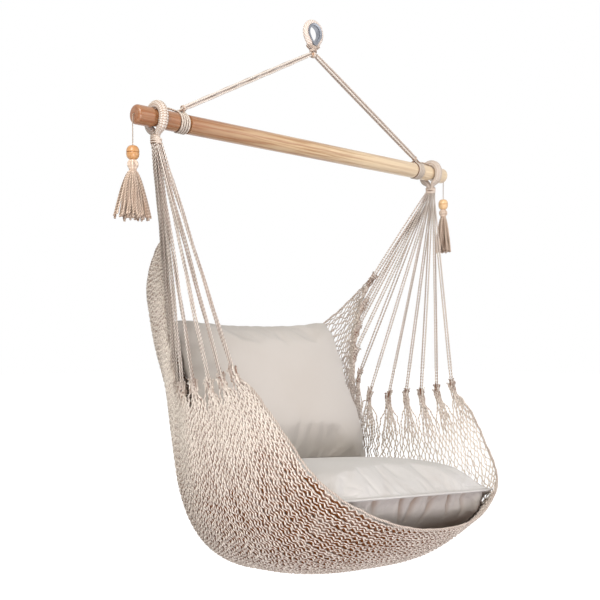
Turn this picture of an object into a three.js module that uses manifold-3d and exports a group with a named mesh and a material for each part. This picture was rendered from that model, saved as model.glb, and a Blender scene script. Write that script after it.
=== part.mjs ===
// A hanging hammock chair: a roped thimble, two legs of cord, a wooden spreader bar,
// a knotted net sling carried by two fans of cord, a seat cushion, a back pillow
// and a tassel with a sliding bead at each tip of the bar.
// Millimetres. +Z is up, the sitter faces -Y and the bar runs along X.
// The origin is the inside top of the thimble, where the hook bears.

import * as THREE from "three";
import { mergeVertices } from "three/addons/utils/BufferGeometryUtils.js";
import Module from "manifold-3d";

const wasm = await Module();
wasm.setup();

// Clearances
const GAP = 0.3;
const LAY_GAP = 0.6;

// Thimble and the rope eye around it
const OPENING_RADIUS = 15;
const OPENING_TIP_RADIUS = 4;
const OPENING_HEIGHT = 38;
const THIMBLE_WALL = 1.6;
const THIMBLE_LIP = 5;
const EYE_ROPE_DIAMETER = 13;
const EYE_LIMB_DIAMETER = 6.6;

// Throat, where the legs leave the eye
const THROAT_DROP = 64;
const THROAT_KNOT_RADIUS = 7.2;
const THROAT_KNOT_LENGTH = 10;
const SEIZING_CORD = 2.2;
const SEIZING_TURNS = 3;

// Legs, two by two cords on each side
const LEG_CORD = 5;
const LEG_SPREAD = 1.4;
const LEG_END_HEIGHT = 17;
const LEG_WHIPPING_TURNS = 3;

// Spreader bar
const BAR_LENGTH = 950;
const BAR_DIAMETER = 38;
const BAR_DROP = 279;
const TIP_ROUNDING = 6;
const TIP_HOLE_DIAMETER = 4;
const TIP_HOLE_DEPTH = 20;
const EYE_GROOVE_FROM_TIP = 50;
const EYE_GROOVE_WIDTH = 27;
const EYE_GROOVE_DEPTH = 3;
const HITCH_GROOVE_FROM_TIP = 109;
const HITCH_GROOVE_WIDTH = 28;
const HITCH_GROOVE_DEPTH = 3.5;
const HITCH_TURNS = 4;
const KEEPER_CORD = 4;

// Side eyes and the whipped necks below them
const SIDE_ROPE_DIAMETER = 19;
const NECK_LIMB_DIAMETER = 10.4;
const NECK_TOP = 32;
const NECK_BOTTOM = 51;
const NECK_CORD = 2.4;
const NECK_TURNS = 5;

// Fan cords, one pair to each knot of the net's edge
const FAN_PAIRS = 11;
const FAN_CORD = 2.8;
const FAN_PITCH = 1.85;
const GATHER_DIAMETER = 9;
const GATHER_LENGTH = 22;

// Net sling, heights measured down from the bar's axis
const NET_THICKNESS = 6;
const NET_COLUMNS = 9;
const NET_ROWS = 2 * FAN_PAIRS;
const NET_OPEN_COLUMNS = 3;
const NET_OPENING_SHARE = 0.6;
const NET_EDGE_CROWDING = 0.35;
const NET_ROLL_DEGREES = 3.9;
const SELVEDGE_CORD = 6;
const EDGE_DRAW_FROM = 0.6;
const EDGE_DRAW_FADE = 0.22;
const SIDE_EDGE = [
  [342, -152, -510],
  [330, -56, -540],
  [328, 38, -548],
  [306, 86, -560],
  [293, 124, -512],
  [293, 144, -420],
  [318, 118, -272],
  [328, 102, -218],
];
const MIDDLE_PROFILE = [
  [0, -366, -801],
  [0, -199, -901],
  [0, -13, -938],
  [0, 128, -934],
  [0, 170, -840],
  [0, 212, -690],
  [0, 288, -555],
  [0, 326, -458],
];

// Seat cushion and back pillow
const SEAT_WIDTH = 530;
const SEAT_DEPTH = 446;
const SEAT_CROWN = 60;
const SEAT_BELLY = 104;
const SEAT_CENTRE_Y = -90;
const SEAT_TILT_DEGREES = 4;
const SEAT_ROUNDING = 0.18;
const PIPING_DIAMETER = 7;
const PILLOW_WIDTH = 480;
const PILLOW_HEIGHT = 375;
const PILLOW_ROUNDING = 0.05;
const PILLOW_CROWN = 74;
const PILLOW_LEAN_DEGREES = 23;
const PILLOW_FOOT_Y = 80;
const SIDE_PULL = 0.05;
const SEAT_LIFT = 120;
const PILLOW_LIFT = 40;
const SETTLE_STRIDE = 4;

// Tassels
const TWINE = 2;
const BEAD_DROP = 61;
const BEAD_DIAMETER = 25;
const BEAD_LENGTH = 26;
const TASSEL_KNOT_DIAMETER = 21;
const TASSEL_KNOT_LENGTH = 20;
const TASSEL_WAIST = 13;
const SKIRT_LENGTH = 92;
const SKIRT_RADIUS = 24;
const SKIRT_FLUTES = 12;

// Colours
const COTTON = 0xe3d8c9;
const CORD_SHADE = 0xd6c6b2;
const CANVAS = 0xddd7cf;
const CANVAS_LIGHT = 0xe4dfd8;
const BIRCH = 0xdfb98c;
const STEEL = 0xa9adb1;

const AXIS_X = new THREE.Vector3(1, 0, 0);
const AXIS_Y = new THREE.Vector3(0, 1, 0);
const AXIS_Z = new THREE.Vector3(0, 0, 1);
const barRadius = BAR_DIAMETER / 2;
const barZ = -BAR_DROP;

function vec(x, y, z) {
  return new THREE.Vector3(x, y, z);
}

// Turns a closed surface so that its faces point outwards.
function faceOut(geometry) {
  const at = geometry.getAttribute("position");
  const index = geometry.getIndex();
  const a = vec(0, 0, 0);
  const b = vec(0, 0, 0);
  const c = vec(0, 0, 0);
  let volume = 0;
  for (let i = 0; i < index.count; i += 3) {
    a.fromBufferAttribute(at, index.getX(i));
    b.fromBufferAttribute(at, index.getX(i + 1));
    c.fromBufferAttribute(at, index.getX(i + 2));
    volume += a.dot(b.cross(c));
  }
  if (volume < 0) {
    const flipped = Array.from(index.array);
    for (let i = 0; i < flipped.length; i += 3) {
      const first = flipped[i];
      flipped[i] = flipped[i + 1];
      flipped[i + 1] = first;
    }
    geometry.setIndex(flipped);
  }
  geometry.computeVertexNormals();
  return geometry;
}

function surface(points, faces) {
  const geometry = new THREE.BufferGeometry().setFromPoints(points);
  geometry.setIndex(faces);
  return faceOut(geometry);
}

// Joins rings of equal count in order. An open loft gets a flat cap at each end.
function loft(rings, closed = false) {
  const count = rings[0].length;
  const points = rings.flat();
  const faces = [];
  const spans = closed ? rings.length : rings.length - 1;
  for (let r = 0; r < spans; r++) {
    const from = r * count;
    const to = ((r + 1) % rings.length) * count;
    for (let k = 0; k < count; k++) {
      const next = (k + 1) % count;
      faces.push(from + k, to + k, to + next);
      faces.push(from + k, to + next, from + next);
    }
  }
  if (!closed) {
    const last = (rings.length - 1) * count;
    for (let k = 1; k < count - 1; k++) {
      faces.push(0, k, k + 1);
      faces.push(last, last + k + 1, last + k);
    }
  }
  return surface(points, faces);
}

// Directions along a run of points.
function tangentsOf(points) {
  return points.map((point, i) => {
    const before = points[Math.max(i - 1, 0)];
    const after = points[Math.min(i + 1, points.length - 1)];
    return after.clone().sub(before).normalize();
  });
}

// Round rings along a run of points, carried along without twist.
function ringsAlong(points, radiusAt, sides) {
  const tangents = tangentsOf(points);
  const start = Math.abs(tangents[0].x) < 0.8 ? AXIS_X : AXIS_Y;
  let normal = start.clone();
  return points.map((point, i) => {
    normal = normal.clone().addScaledVector(tangents[i], -normal.dot(tangents[i])).normalize();
    const across = tangents[i].clone().cross(normal);
    const radius = radiusAt(i);
    const ring = [];
    for (let k = 0; k < sides; k++) {
      const turn = (2 * Math.PI * k) / sides;
      const onRing = point.clone().addScaledVector(normal, radius * Math.cos(turn));
      ring.push(onRing.addScaledVector(across, radius * Math.sin(turn)));
    }
    return ring;
  });
}

// A cord of even thickness along a smooth curve.
function cord(points, diameter, steps, sides = 8) {
  const path = new THREE.CatmullRomCurve3(points, false, "centripetal");
  const section = new THREE.Shape();
  for (let k = 0; k < sides; k++) {
    const turn = (2 * Math.PI * k) / sides;
    const x = (diameter / 2) * Math.cos(turn);
    const y = (diameter / 2) * Math.sin(turn);
    if (k === 0) section.moveTo(x, y);
    else section.lineTo(x, y);
  }
  section.closePath();
  return new THREE.ExtrudeGeometry(section, { extrudePath: path, steps, bevelEnabled: false });
}

// A profile of [radius, height] pairs turned about +Z.
function turned(profile, segments, flutes = null) {
  const points = profile.map(([radius, height]) => new THREE.Vector2(radius, height));
  const geometry = new THREE.LatheGeometry(points, segments);
  geometry.rotateX(Math.PI / 2);
  if (flutes) flutes(geometry.getAttribute("position"));
  return faceOut(merged(geometry));
}

function merged(geometry) {
  const bare = geometry.clone();
  bare.deleteAttribute("normal");
  bare.deleteAttribute("uv");
  const joined = mergeVertices(bare, 1e-3);
  const index = joined.getIndex();
  const kept = [];
  for (let i = 0; i < index.count; i += 3) {
    const [a, b, c] = [index.getX(i), index.getX(i + 1), index.getX(i + 2)];
    if (a !== b && b !== c && a !== c) kept.push(a, b, c);
  }
  joined.setIndex(kept);
  return joined;
}

function solidOf(geometry) {
  const joined = merged(geometry);
  const vertProperties = joined.getAttribute("position").array;
  const triVerts = new Uint32Array(joined.getIndex().array);
  return new wasm.Manifold(new wasm.Mesh({ numProp: 3, vertProperties, triVerts }));
}

// Moves a piece along a direction until it first touches what stands in its way,
// then backs it off by twice the clearance, because what it meets slopes.
function settle(geometry, obstacles, direction, reach) {
  const moving = solidOf(geometry);
  const walls = obstacles.map(solidOf);
  const blocked = (distance) => {
    const step = direction.clone().multiplyScalar(distance);
    const moved = moving.translate([step.x, step.y, step.z]);
    return walls.some((wall) => moved.intersect(wall).volume() > 1e-6);
  };
  let free = 0;
  let stopped = reach;
  for (let distance = 0; distance <= reach; distance += SETTLE_STRIDE) {
    if (blocked(distance)) {
      stopped = distance;
      break;
    }
    free = distance;
  }
  while (stopped - free > GAP / 20) {
    const half = (free + stopped) / 2;
    if (blocked(half)) stopped = half;
    else free = half;
  }
  const shift = direction.clone().multiplyScalar(free - 2 * GAP);
  geometry.translate(shift.x, shift.y, shift.z);
  return geometry;
}

// The least distance between a wound cord's surface and itself, measured between
// points on its centre line that are more than a turn's third apart along it.
function leastSelfGap(name, points, diameter) {
  const dense = [];
  const alongs = [];
  let along = 0;
  for (let i = 0; i < points.length - 1; i++) {
    const length = points[i].distanceTo(points[i + 1]);
    for (let k = 0; k < 6; k++) {
      dense.push(points[i].clone().lerp(points[i + 1], k / 6));
      alongs.push(along + (length * k) / 6);
    }
    along += length;
  }
  let least = Infinity;
  for (let i = 0; i < dense.length; i++) {
    for (let j = i + 1; j < dense.length; j++) {
      if (alongs[j] - alongs[i] > 3.2 * diameter) {
        least = Math.min(least, dense[i].distanceTo(dense[j]) - diameter);
      }
    }
  }
  console.log(`${name}: least gap to itself ${least.toFixed(2)} mm`);
}

// A wound cord: its turns follow outline(turn), its two ends run on straight.
function winding(name, outline, turns, stepsPerTurn, diameter, leadIn, leadOut, sides = 5) {
  const points = [...leadIn];
  const steps = Math.round(turns * stepsPerTurn);
  for (let i = 0; i <= steps; i++) points.push(outline(i / stepsPerTurn));
  points.push(...leadOut);
  leastSelfGap(name, points, diameter);
  return loft(ringsAlong(points, () => diameter / 2, sides));
}

// Straight ends, one cord's diameter long, in line with the first and last turn.
function straightEnds(outline, turns, diameter) {
  const tiny = 0.01;
  const first = outline(0);
  const last = outline(turns);
  const back = first.clone().sub(outline(tiny)).normalize().multiplyScalar(diameter);
  const on = last.clone().sub(outline(turns - tiny)).normalize().multiplyScalar(diameter);
  return [[first.clone().add(back)], [last.clone().add(on)]];
}

const chair = new THREE.Group();

function addPiece(name, geometry, color, roughness = 0.9, metalness = 0) {
  const material = new THREE.MeshStandardMaterial({ color, roughness, metalness });
  const piece = new THREE.Mesh(geometry, material);
  piece.name = name;
  chair.add(piece);
}

// Thimble and rope eye share one outline: a large arc above, a small one below.
const bigCentre = vec(0, 0, -OPENING_RADIUS);
const smallCentre = vec(0, 0, -(OPENING_HEIGHT - OPENING_TIP_RADIUS));
const lean = Math.asin((OPENING_RADIUS - OPENING_TIP_RADIUS) / bigCentre.distanceTo(smallCentre));
const ropeOffset = THIMBLE_WALL + GAP + EYE_ROPE_DIAMETER / 2;
const throatTop = -THROAT_DROP + THROAT_KNOT_RADIUS + GAP;

function outwardAt(angle) {
  return vec(Math.cos(angle), 0, Math.sin(angle));
}

function arcAngles(from, to, steps) {
  return Array.from({ length: steps + 1 }, (unused, i) => from + ((to - from) * i) / steps);
}

function thimble() {
  const ropeRadius = EYE_ROPE_DIAMETER / 2 + GAP;
  const lipHalf = ropeRadius + THIMBLE_WALL;
  const section = [[0, -lipHalf + 2], [0, lipHalf - 2]];
  section.push([THIMBLE_LIP, lipHalf], [THIMBLE_LIP + 0.8, lipHalf - THIMBLE_WALL / 2]);
  const groove = Math.acos((ropeOffset - THIMBLE_LIP) / ropeRadius);
  for (const turn of arcAngles(groove, -groove, 6)) {
    section.push([ropeOffset - ropeRadius * Math.cos(turn), ropeRadius * Math.sin(turn)]);
  }
  section.push([THIMBLE_LIP + 0.8, -lipHalf + THIMBLE_WALL / 2], [THIMBLE_LIP, -lipHalf]);
  const ring = (centre, radius, angle) =>
    section.map(([out, side]) => {
      const point = centre.clone().addScaledVector(outwardAt(angle), radius + out);
      return point.setY(side);
    });
  const upper = arcAngles(-lean, Math.PI + lean, 20);
  const lower = arcAngles(Math.PI + lean, 2 * Math.PI - lean, 6);
  const rings = upper.map((angle) => ring(bigCentre, OPENING_RADIUS, angle));
  rings.push(...lower.map((angle) => ring(smallCentre, OPENING_TIP_RADIUS, angle)));
  return loft(rings, true);
}

// Half of the rope eye's centre line, from the foot of a limb to the top arc.
function eyeLimb() {
  const limb = EYE_LIMB_DIAMETER / 2;
  const reach = OPENING_TIP_RADIUS + ropeOffset;
  const leave = smallCentre.clone().addScaledVector(outwardAt(-lean), reach);
  const slope = vec(-Math.sin(lean), 0, -Math.cos(lean));
  const run = (leave.x - limb - GAP / 2) / Math.sin(lean);
  const meet = leave.clone().addScaledVector(slope, run);
  const half = leave.clone().addScaledVector(slope, run * 0.5);
  const wide = EYE_ROPE_DIAMETER / 2;
  return [
    { point: vec(meet.x, 0, throatTop), radius: limb },
    { point: meet, radius: limb },
    { point: half, radius: (limb + wide) / 2 },
    { point: leave, radius: wide },
  ];
}

function eyeRope() {
  const right = eyeLimb();
  const left = right.map(({ point, radius }) => ({ point: vec(-point.x, 0, point.z), radius }));
  const arc = arcAngles(-lean, Math.PI + lean, 20).map((angle) => ({
    point: bigCentre.clone().addScaledVector(outwardAt(angle), OPENING_RADIUS + ropeOffset),
    radius: EYE_ROPE_DIAMETER / 2,
  }));
  const stations = [...right, ...arc, ...left.reverse()];
  const points = stations.map(({ point }) => point);
  return loft(ringsAlong(points, (i) => stations[i].radius, 8));
}

// The seizing tapers with the two limbs that it binds.
function throatSeizing() {
  const [, meet, half] = eyeLimb();
  const top = half.point.z - SEIZING_CORD / 2;
  const bottom = throatTop + SEIZING_CORD / 2;
  const stepsPerTurn = 12;
  const outline = (turn) => {
    const z = top + ((bottom - top) * turn) / SEIZING_TURNS;
    const outerZ = z + meet.radius * Math.sin(lean);
    const widening = Math.max(0, outerZ - meet.point.z) / (half.point.z - meet.point.z);
    const reachX = meet.point.x + (half.point.x - meet.point.x) * widening;
    const limb = meet.radius + (half.radius - meet.radius) * widening;
    const hold = (reachX + limb / Math.cos(lean) + GAP) / Math.cos(Math.PI / stepsPerTurn);
    const radius = hold + SEIZING_CORD / 2;
    const angle = 2 * Math.PI * turn;
    return vec(radius * Math.sin(angle), -radius * Math.cos(angle), z);
  };
  const [leadIn, leadOut] = straightEnds(outline, SEIZING_TURNS, SEIZING_CORD);
  return winding("throat_seizing", outline, SEIZING_TURNS, stepsPerTurn, SEIZING_CORD, leadIn, leadOut);
}

function throatKnot() {
  const half = THROAT_KNOT_LENGTH / 2;
  const rounding = 2;
  const profile = [
    [0, -half],
    [THROAT_KNOT_RADIUS - rounding, -half],
    [THROAT_KNOT_RADIUS - rounding / 3, -half + rounding / 2],
    [THROAT_KNOT_RADIUS, 0],
    [THROAT_KNOT_RADIUS - rounding / 3, half - rounding / 2],
    [THROAT_KNOT_RADIUS - rounding, half],
    [0, half],
  ];
  const geometry = turned(profile, 16);
  geometry.rotateY(Math.PI / 2);
  geometry.translate(0, 0, -THROAT_DROP);
  return geometry;
}

// Legs. The four cords of a leg lie two by two, on both sides of the leg's own line.
const legPitch = LEG_CORD + LAY_GAP;
const hitchX = BAR_LENGTH / 2 - HITCH_GROOVE_FROM_TIP;
const legEnd = vec(hitchX - HITCH_GROOVE_WIDTH / 2, 0, barZ + barRadius + LEG_END_HEIGHT);
const legSlope = Math.atan2(-THROAT_DROP - legEnd.z, legEnd.x);
const legStartX = THROAT_KNOT_LENGTH / 2 + GAP + (LEG_CORD / 2 + legPitch / 2) * Math.sin(legSlope);
const legStart = vec(legStartX, 0, -THROAT_DROP);
const legAlong = legEnd.clone().sub(legStart).normalize();
const legOver = vec(-legAlong.z, 0, legAlong.x);
const LEG_CORNERS = [
  [-1, 1],
  [-1, -1],
  [1, 1],
  [1, -1],
];

function mirrorX(point, side) {
  return vec(point.x * side, point.y, point.z);
}

function legCord(side, [sideY, sideOver]) {
  const at = (share, spread) => {
    const point = legStart.clone().lerp(legEnd, share);
    point.addScaledVector(legOver, (sideOver * spread * legPitch) / 2);
    point.setY((sideY * spread * legPitch) / 2);
    return mirrorX(point, side);
  };
  const spreads = [[0, 1], [0.25, LEG_SPREAD], [0.6, LEG_SPREAD], [0.95, 1], [1, 1]];
  const points = spreads.map(([share, spread]) => at(share, spread));
  return cord(points, LEG_CORD, 8, 6);
}

function legWhipping(side) {
  const name = side < 0 ? "leg_whipping_left" : "leg_whipping_right";
  const stepsPerTurn = 10;
  const bundle = (legPitch / 2) * Math.SQRT2 + LEG_CORD / 2;
  const radius = (bundle + GAP) / Math.cos(Math.PI / stepsPerTurn) + SEIZING_CORD / 2;
  const pitch = SEIZING_CORD + LAY_GAP;
  const outline = (turn) => {
    const angle = 2 * Math.PI * turn;
    const along = -2 * SEIZING_CORD - pitch * (LEG_WHIPPING_TURNS - turn);
    const point = legEnd.clone().addScaledVector(legAlong, along);
    point.addScaledVector(legOver, radius * Math.cos(angle));
    point.addScaledVector(AXIS_Y, radius * Math.sin(angle));
    return mirrorX(point, side);
  };
  const [leadIn, leadOut] = straightEnds(outline, LEG_WHIPPING_TURNS, SEIZING_CORD);
  return winding(name, outline, LEG_WHIPPING_TURNS, stepsPerTurn, SEIZING_CORD, leadIn, leadOut);
}

// The hitch winds round the bar's groove, and both ends rise to the lower pair of leg cords.
function hitchWinding(side) {
  const name = side < 0 ? "hitch_winding_left" : "hitch_winding_right";
  const stepsPerTurn = 14;
  const seat = barRadius - HITCH_GROOVE_DEPTH + GAP;
  const radius = seat / Math.cos(Math.PI / stepsPerTurn) + LEG_CORD / 2;
  const crotch = radius * 1.62;
  const leave = Math.acos(radius / crotch);
  const turns = HITCH_TURNS - leave / Math.PI;
  const span = turns * legPitch;
  const outline = (turn) => {
    const angle = leave + 2 * Math.PI * turn;
    const x = hitchX - span / 2 + legPitch * turn;
    return vec(side * x, radius * Math.sin(angle), barZ + radius * Math.cos(angle));
  };
  const meet = legEnd.clone().addScaledVector(legOver, -legPitch / 2);
  meet.addScaledVector(legAlong, GAP);
  const straight = meet.clone().addScaledVector(legAlong, LEG_CORD);
  const rise = (x, ySide) => {
    const clearHeight = radius + LEG_CORD + LAY_GAP;
    const y = (ySide * legPitch) / 2;
    const over = vec(x, y * 1.15, barZ + clearHeight);
    const lifted = vec((x + straight.x) / 2, y, (barZ + clearHeight + straight.z) / 2 + 1);
    return [over, lifted, straight.clone().setY(y), meet.clone().setY(y)].map((p) => mirrorX(p, side));
  };
  const leadIn = rise(hitchX - span / 2 - LAY_GAP, 1).reverse();
  const leadOut = rise(hitchX + span / 2 + LAY_GAP, -1);
  return winding(name, outline, turns, stepsPerTurn, LEG_CORD, leadIn, leadOut, 6);
}

function spreaderBar() {
  const half = BAR_LENGTH / 2;
  const eyeX = half - EYE_GROOVE_FROM_TIP;
  const coveRadius = barRadius - EYE_GROOVE_DEPTH;
  const hitchRadius = barRadius - HITCH_GROOVE_DEPTH;
  const tip = [
    [0, half - TIP_HOLE_DEPTH],
    [TIP_HOLE_DIAMETER / 2, half - TIP_HOLE_DEPTH],
    [TIP_HOLE_DIAMETER / 2, half],
    [barRadius - TIP_ROUNDING, half],
  ];
  for (const turn of arcAngles(Math.PI / 2, 0, 3).slice(1)) {
    const along = half - TIP_ROUNDING + TIP_ROUNDING * Math.sin(turn);
    tip.push([barRadius - TIP_ROUNDING + TIP_ROUNDING * Math.cos(turn), along]);
  }
  const cove = [
    [barRadius, eyeX + EYE_GROOVE_WIDTH / 2],
    [coveRadius, eyeX + EYE_GROOVE_WIDTH / 2 - EYE_GROOVE_DEPTH],
    [coveRadius, eyeX - EYE_GROOVE_WIDTH / 2 + EYE_GROOVE_DEPTH],
    [barRadius, eyeX - EYE_GROOVE_WIDTH / 2],
  ];
  const groove = [
    [barRadius, hitchX + HITCH_GROOVE_WIDTH / 2],
    [hitchRadius, hitchX + HITCH_GROOVE_WIDTH / 2],
    [hitchRadius, hitchX - HITCH_GROOVE_WIDTH / 2],
    [barRadius, hitchX - HITCH_GROOVE_WIDTH / 2],
  ];
  const rightHalf = [...tip, ...cove, ...groove];
  const leftHalf = rightHalf.map(([radius, along]) => [radius, -along]).reverse();
  const geometry = turned([...rightHalf, ...leftHalf], 22);
  geometry.rotateY(Math.PI / 2);
  geometry.translate(0, 0, barZ);
  return geometry;
}

// A short cord along the top of the bar ties the hitch to the side eye.
function keeperCord(side) {
  const eyeX = BAR_LENGTH / 2 - EYE_GROOVE_FROM_TIP;
  const height = barZ + barRadius + GAP + KEEPER_CORD / 2;
  const from = hitchX + HITCH_GROOVE_WIDTH / 2 + 1;
  const centreRadius = barRadius - EYE_GROOVE_DEPTH + GAP + SIDE_ROPE_DIAMETER / 2;
  const below = centreRadius - (height - barZ + KEEPER_CORD / 2);
  const bulge = Math.sqrt((SIDE_ROPE_DIAMETER / 2) ** 2 - Math.max(0, below) ** 2);
  const to = eyeX - bulge - GAP;
  const points = [vec(side * from, 0, height), vec((side * (from + to)) / 2, 0, height), vec(side * to, 0, height)];
  return cord(points, KEEPER_CORD, 3, 8);
}

// Side eyes: a thick rope loop in the bar's cove, both limbs drawn into a whipped neck.
const eyeX = BAR_LENGTH / 2 - EYE_GROOVE_FROM_TIP;
const limbOffset = NECK_LIMB_DIAMETER / 2 + GAP / 2;

function sideEye(side) {
  const loop = barRadius - EYE_GROOVE_DEPTH + GAP + SIDE_ROPE_DIAMETER / 2;
  const wide = SIDE_ROPE_DIAMETER / 2;
  const narrow = NECK_LIMB_DIAMETER / 2;
  const shoulder = -NECK_TOP * 0.55;
  const limb = [
    { y: limbOffset, z: -NECK_BOTTOM, radius: narrow },
    { y: limbOffset, z: -NECK_TOP - 2, radius: narrow },
    { y: limbOffset + 3.6, z: -NECK_TOP + 5, radius: narrow + 2.2 },
    { y: loop * 0.82, z: shoulder, radius: wide - 0.9 },
  ];
  const arc = arcAngles(-0.3, Math.PI + 0.3, 14).map((angle) => ({
    y: loop * Math.cos(angle),
    z: loop * Math.sin(angle),
    radius: wide,
  }));
  const other = limb.map(({ y, z, radius }) => ({ y: -y, z, radius })).reverse();
  const stations = [...limb, ...arc, ...other];
  const points = stations.map(({ y, z }) => vec(side * eyeX, y, barZ + z));
  return loft(ringsAlong(points, (i) => stations[i].radius, 10));
}

// A stadium: the outline of two round limbs side by side, walked by arc length.
function stadium(share, halfSpan, radius) {
  const straight = 2 * halfSpan;
  const bend = Math.PI * radius;
  let along = (share - Math.floor(share)) * 2 * (straight + bend);
  const flip = along >= straight + bend ? -1 : 1;
  if (flip < 0) along -= straight + bend;
  if (along < straight) return [flip * radius, flip * (along - halfSpan)];
  const angle = (along - straight) / radius;
  return [flip * radius * Math.cos(angle), flip * (halfSpan + radius * Math.sin(angle))];
}

function neckWhipping(side) {
  const name = side < 0 ? "neck_whipping_left" : "neck_whipping_right";
  const stepsPerTurn = 12;
  const radius = NECK_LIMB_DIAMETER / 2 + 3 * GAP + NECK_CORD / 2;
  const top = -NECK_TOP - NECK_CORD;
  const bottom = -NECK_BOTTOM + NECK_CORD;
  const outline = (turn) => {
    const [x, y] = stadium(turn, limbOffset, radius);
    const z = barZ + top + ((bottom - top) * turn) / NECK_TURNS;
    return vec(side * (eyeX + x), y, z);
  };
  const [leadIn, leadOut] = straightEnds(outline, NECK_TURNS, NECK_CORD);
  return winding(name, outline, NECK_TURNS, stepsPerTurn, NECK_CORD, leadIn, leadOut);
}

// Net sling. u runs across from -1 at the left edge to 1 at the right,
// v runs from 0 at the front edge to 1 at the top of the back.
const edgeCurve = new THREE.CatmullRomCurve3(SIDE_EDGE.map((p) => vec(...p)), false, "centripetal");
const middleCurve = new THREE.CatmullRomCurve3(MIDDLE_PROFILE.map((p) => vec(...p)), false, "centripetal");
const crossSections = new Map();

// Tufts sit closer together under the seat than up the back.
function edgeShare(v) {
  return 0.74 * v + 0.26 * v * v;
}

// The seat's hollow is the boxiest part, because the cushion's corners press it out.
function boxiness(v) {
  return 3.7 - 1.3 * v - 1.4 * Math.max(0, 1 - v / 0.3) ** 1.5;
}

function crossSection(v) {
  if (!crossSections.has(v)) {
    const edge = edgeCurve.getPointAt(edgeShare(v));
    const middle = middleCurve.getPointAt(v);
    const power = 2 / boxiness(v);
    const at = (s) => {
      const up = 1 - Math.cos((s * Math.PI) / 2) ** power;
      const x = edge.x * Math.sin((s * Math.PI) / 2) ** power;
      return vec(x, middle.y + (edge.y - middle.y) * up, middle.z + (edge.z - middle.z) * up);
    };
    const samples = Array.from({ length: 161 }, (unused, i) => at(i / 160));
    const lengths = [0];
    for (let i = 1; i < samples.length; i++) {
      lengths.push(lengths[i - 1] + samples[i].distanceTo(samples[i - 1]));
    }
    crossSections.set(v, { samples, lengths });
  }
  return crossSections.get(v);
}

function freePoint(u, v) {
  const { samples, lengths } = crossSection(v);
  const wanted = Math.abs(u) * lengths[lengths.length - 1];
  let i = 1;
  while (i < lengths.length - 1 && lengths[i] < wanted) i++;
  const share = (wanted - lengths[i - 1]) / (lengths[i] - lengths[i - 1]);
  return samples[i - 1].clone().lerp(samples[i], share);
}

// The front edge is drawn straight from the seat's corner to its first knot,
// which takes the net beside it along.
function slingPoint(u, v) {
  const reach = Math.abs(u);
  const point = freePoint(reach, v);
  const fade = Math.min(v / EDGE_DRAW_FADE, 1);
  const drawn = 1 - fade * fade * (3 - 2 * fade);
  if (reach > EDGE_DRAW_FROM && drawn > 0) {
    const along = (reach - EDGE_DRAW_FROM) / (1 - EDGE_DRAW_FROM);
    const straight = freePoint(EDGE_DRAW_FROM, 0).lerp(freePoint(1, 0), along);
    point.addScaledVector(straight.sub(freePoint(reach, 0)), drawn);
  }
  if (u < 0) point.x = -point.x;
  point.z += barZ - Math.tan(THREE.MathUtils.degToRad(NET_ROLL_DEGREES)) * point.x;
  return point;
}

function slingNormal(u, v) {
  const du = 0.01;
  const dv = 0.01;
  const right = slingPoint(Math.min(u + du, 1), v).sub(slingPoint(Math.max(u - du, -1), v));
  const back = slingPoint(u, Math.min(v + dv, 1)).sub(slingPoint(u, Math.max(v - dv, 0)));
  return right.cross(back).normalize();
}

function columnU(column) {
  const share = Math.abs(column) / NET_COLUMNS;
  return Math.sign(column) * share * (1 + NET_EDGE_CROWDING * (1 - share));
}

function latticePoint(column, row) {
  return slingPoint(columnU(column), row / NET_ROWS);
}

function latticeNormal(column, row) {
  return slingNormal(columnU(column), row / NET_ROWS);
}

// The net is a lattice of diamonds. Those of the side bands are open, and the rest,
// which the cushions load, lie closed up. Half diamonds square off the front and the top.
function slingNet() {
  const points = [];
  const faces = [];
  const rims = new Map();
  const known = new Map();
  const corner = (column, row) => {
    const key = `${column},${row}`;
    if (!known.has(key)) {
      const normal = latticeNormal(column, row).multiplyScalar(NET_THICKNESS / 2);
      const point = latticePoint(column, row);
      points.push(point.clone().add(normal), point.clone().sub(normal));
      known.set(key, points.length - 2);
    }
    return known.get(key);
  };
  const countEdge = (a, b) => {
    const key = `${b},${a}`;
    if (rims.has(key)) rims.delete(key);
    else rims.set(`${a},${b}`, [a, b]);
  };
  const plate = (loop) => {
    for (let k = 1; k < loop.length - 1; k++) {
      faces.push(loop[0], loop[k], loop[k + 1]);
      faces.push(loop[0] + 1, loop[k + 1] + 1, loop[k] + 1);
    }
    loop.forEach((a, k) => countEdge(a, loop[(k + 1) % loop.length]));
  };
  const openDiamond = (loop) => {
    const centre = loop.reduce((sum, a) => sum.add(points[a]), vec(0, 0, 0)).divideScalar(loop.length);
    const under = loop.reduce((sum, a) => sum.add(points[a + 1]), vec(0, 0, 0)).divideScalar(loop.length);
    const inner = loop.map((a) => {
      points.push(centre.clone().lerp(points[a], NET_OPENING_SHARE));
      points.push(under.clone().lerp(points[a + 1], NET_OPENING_SHARE));
      return points.length - 2;
    });
    loop.forEach((a, k) => {
      const next = (k + 1) % loop.length;
      plate([a, loop[next], inner[next], inner[k]]);
    });
  };
  for (let row = 0; row <= NET_ROWS; row++) {
    for (let column = 1 - NET_COLUMNS; column <= NET_COLUMNS - 1; column++) {
      if ((column + row) % 2 === 0) continue;
      const loop = [];
      if (row > 0) loop.push(corner(column, row - 1));
      loop.push(corner(column + 1, row));
      if (row < NET_ROWS) loop.push(corner(column, row + 1));
      loop.push(corner(column - 1, row));
      const open = Math.abs(column) >= NET_COLUMNS - NET_OPEN_COLUMNS;
      if (open && loop.length === 4) openDiamond(loop);
      else plate(loop);
    }
  }
  for (const [a, b] of rims.values()) {
    faces.push(b, a, a + 1);
    faces.push(b, a + 1, b + 1);
  }
  return surface(points, faces);
}

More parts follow.
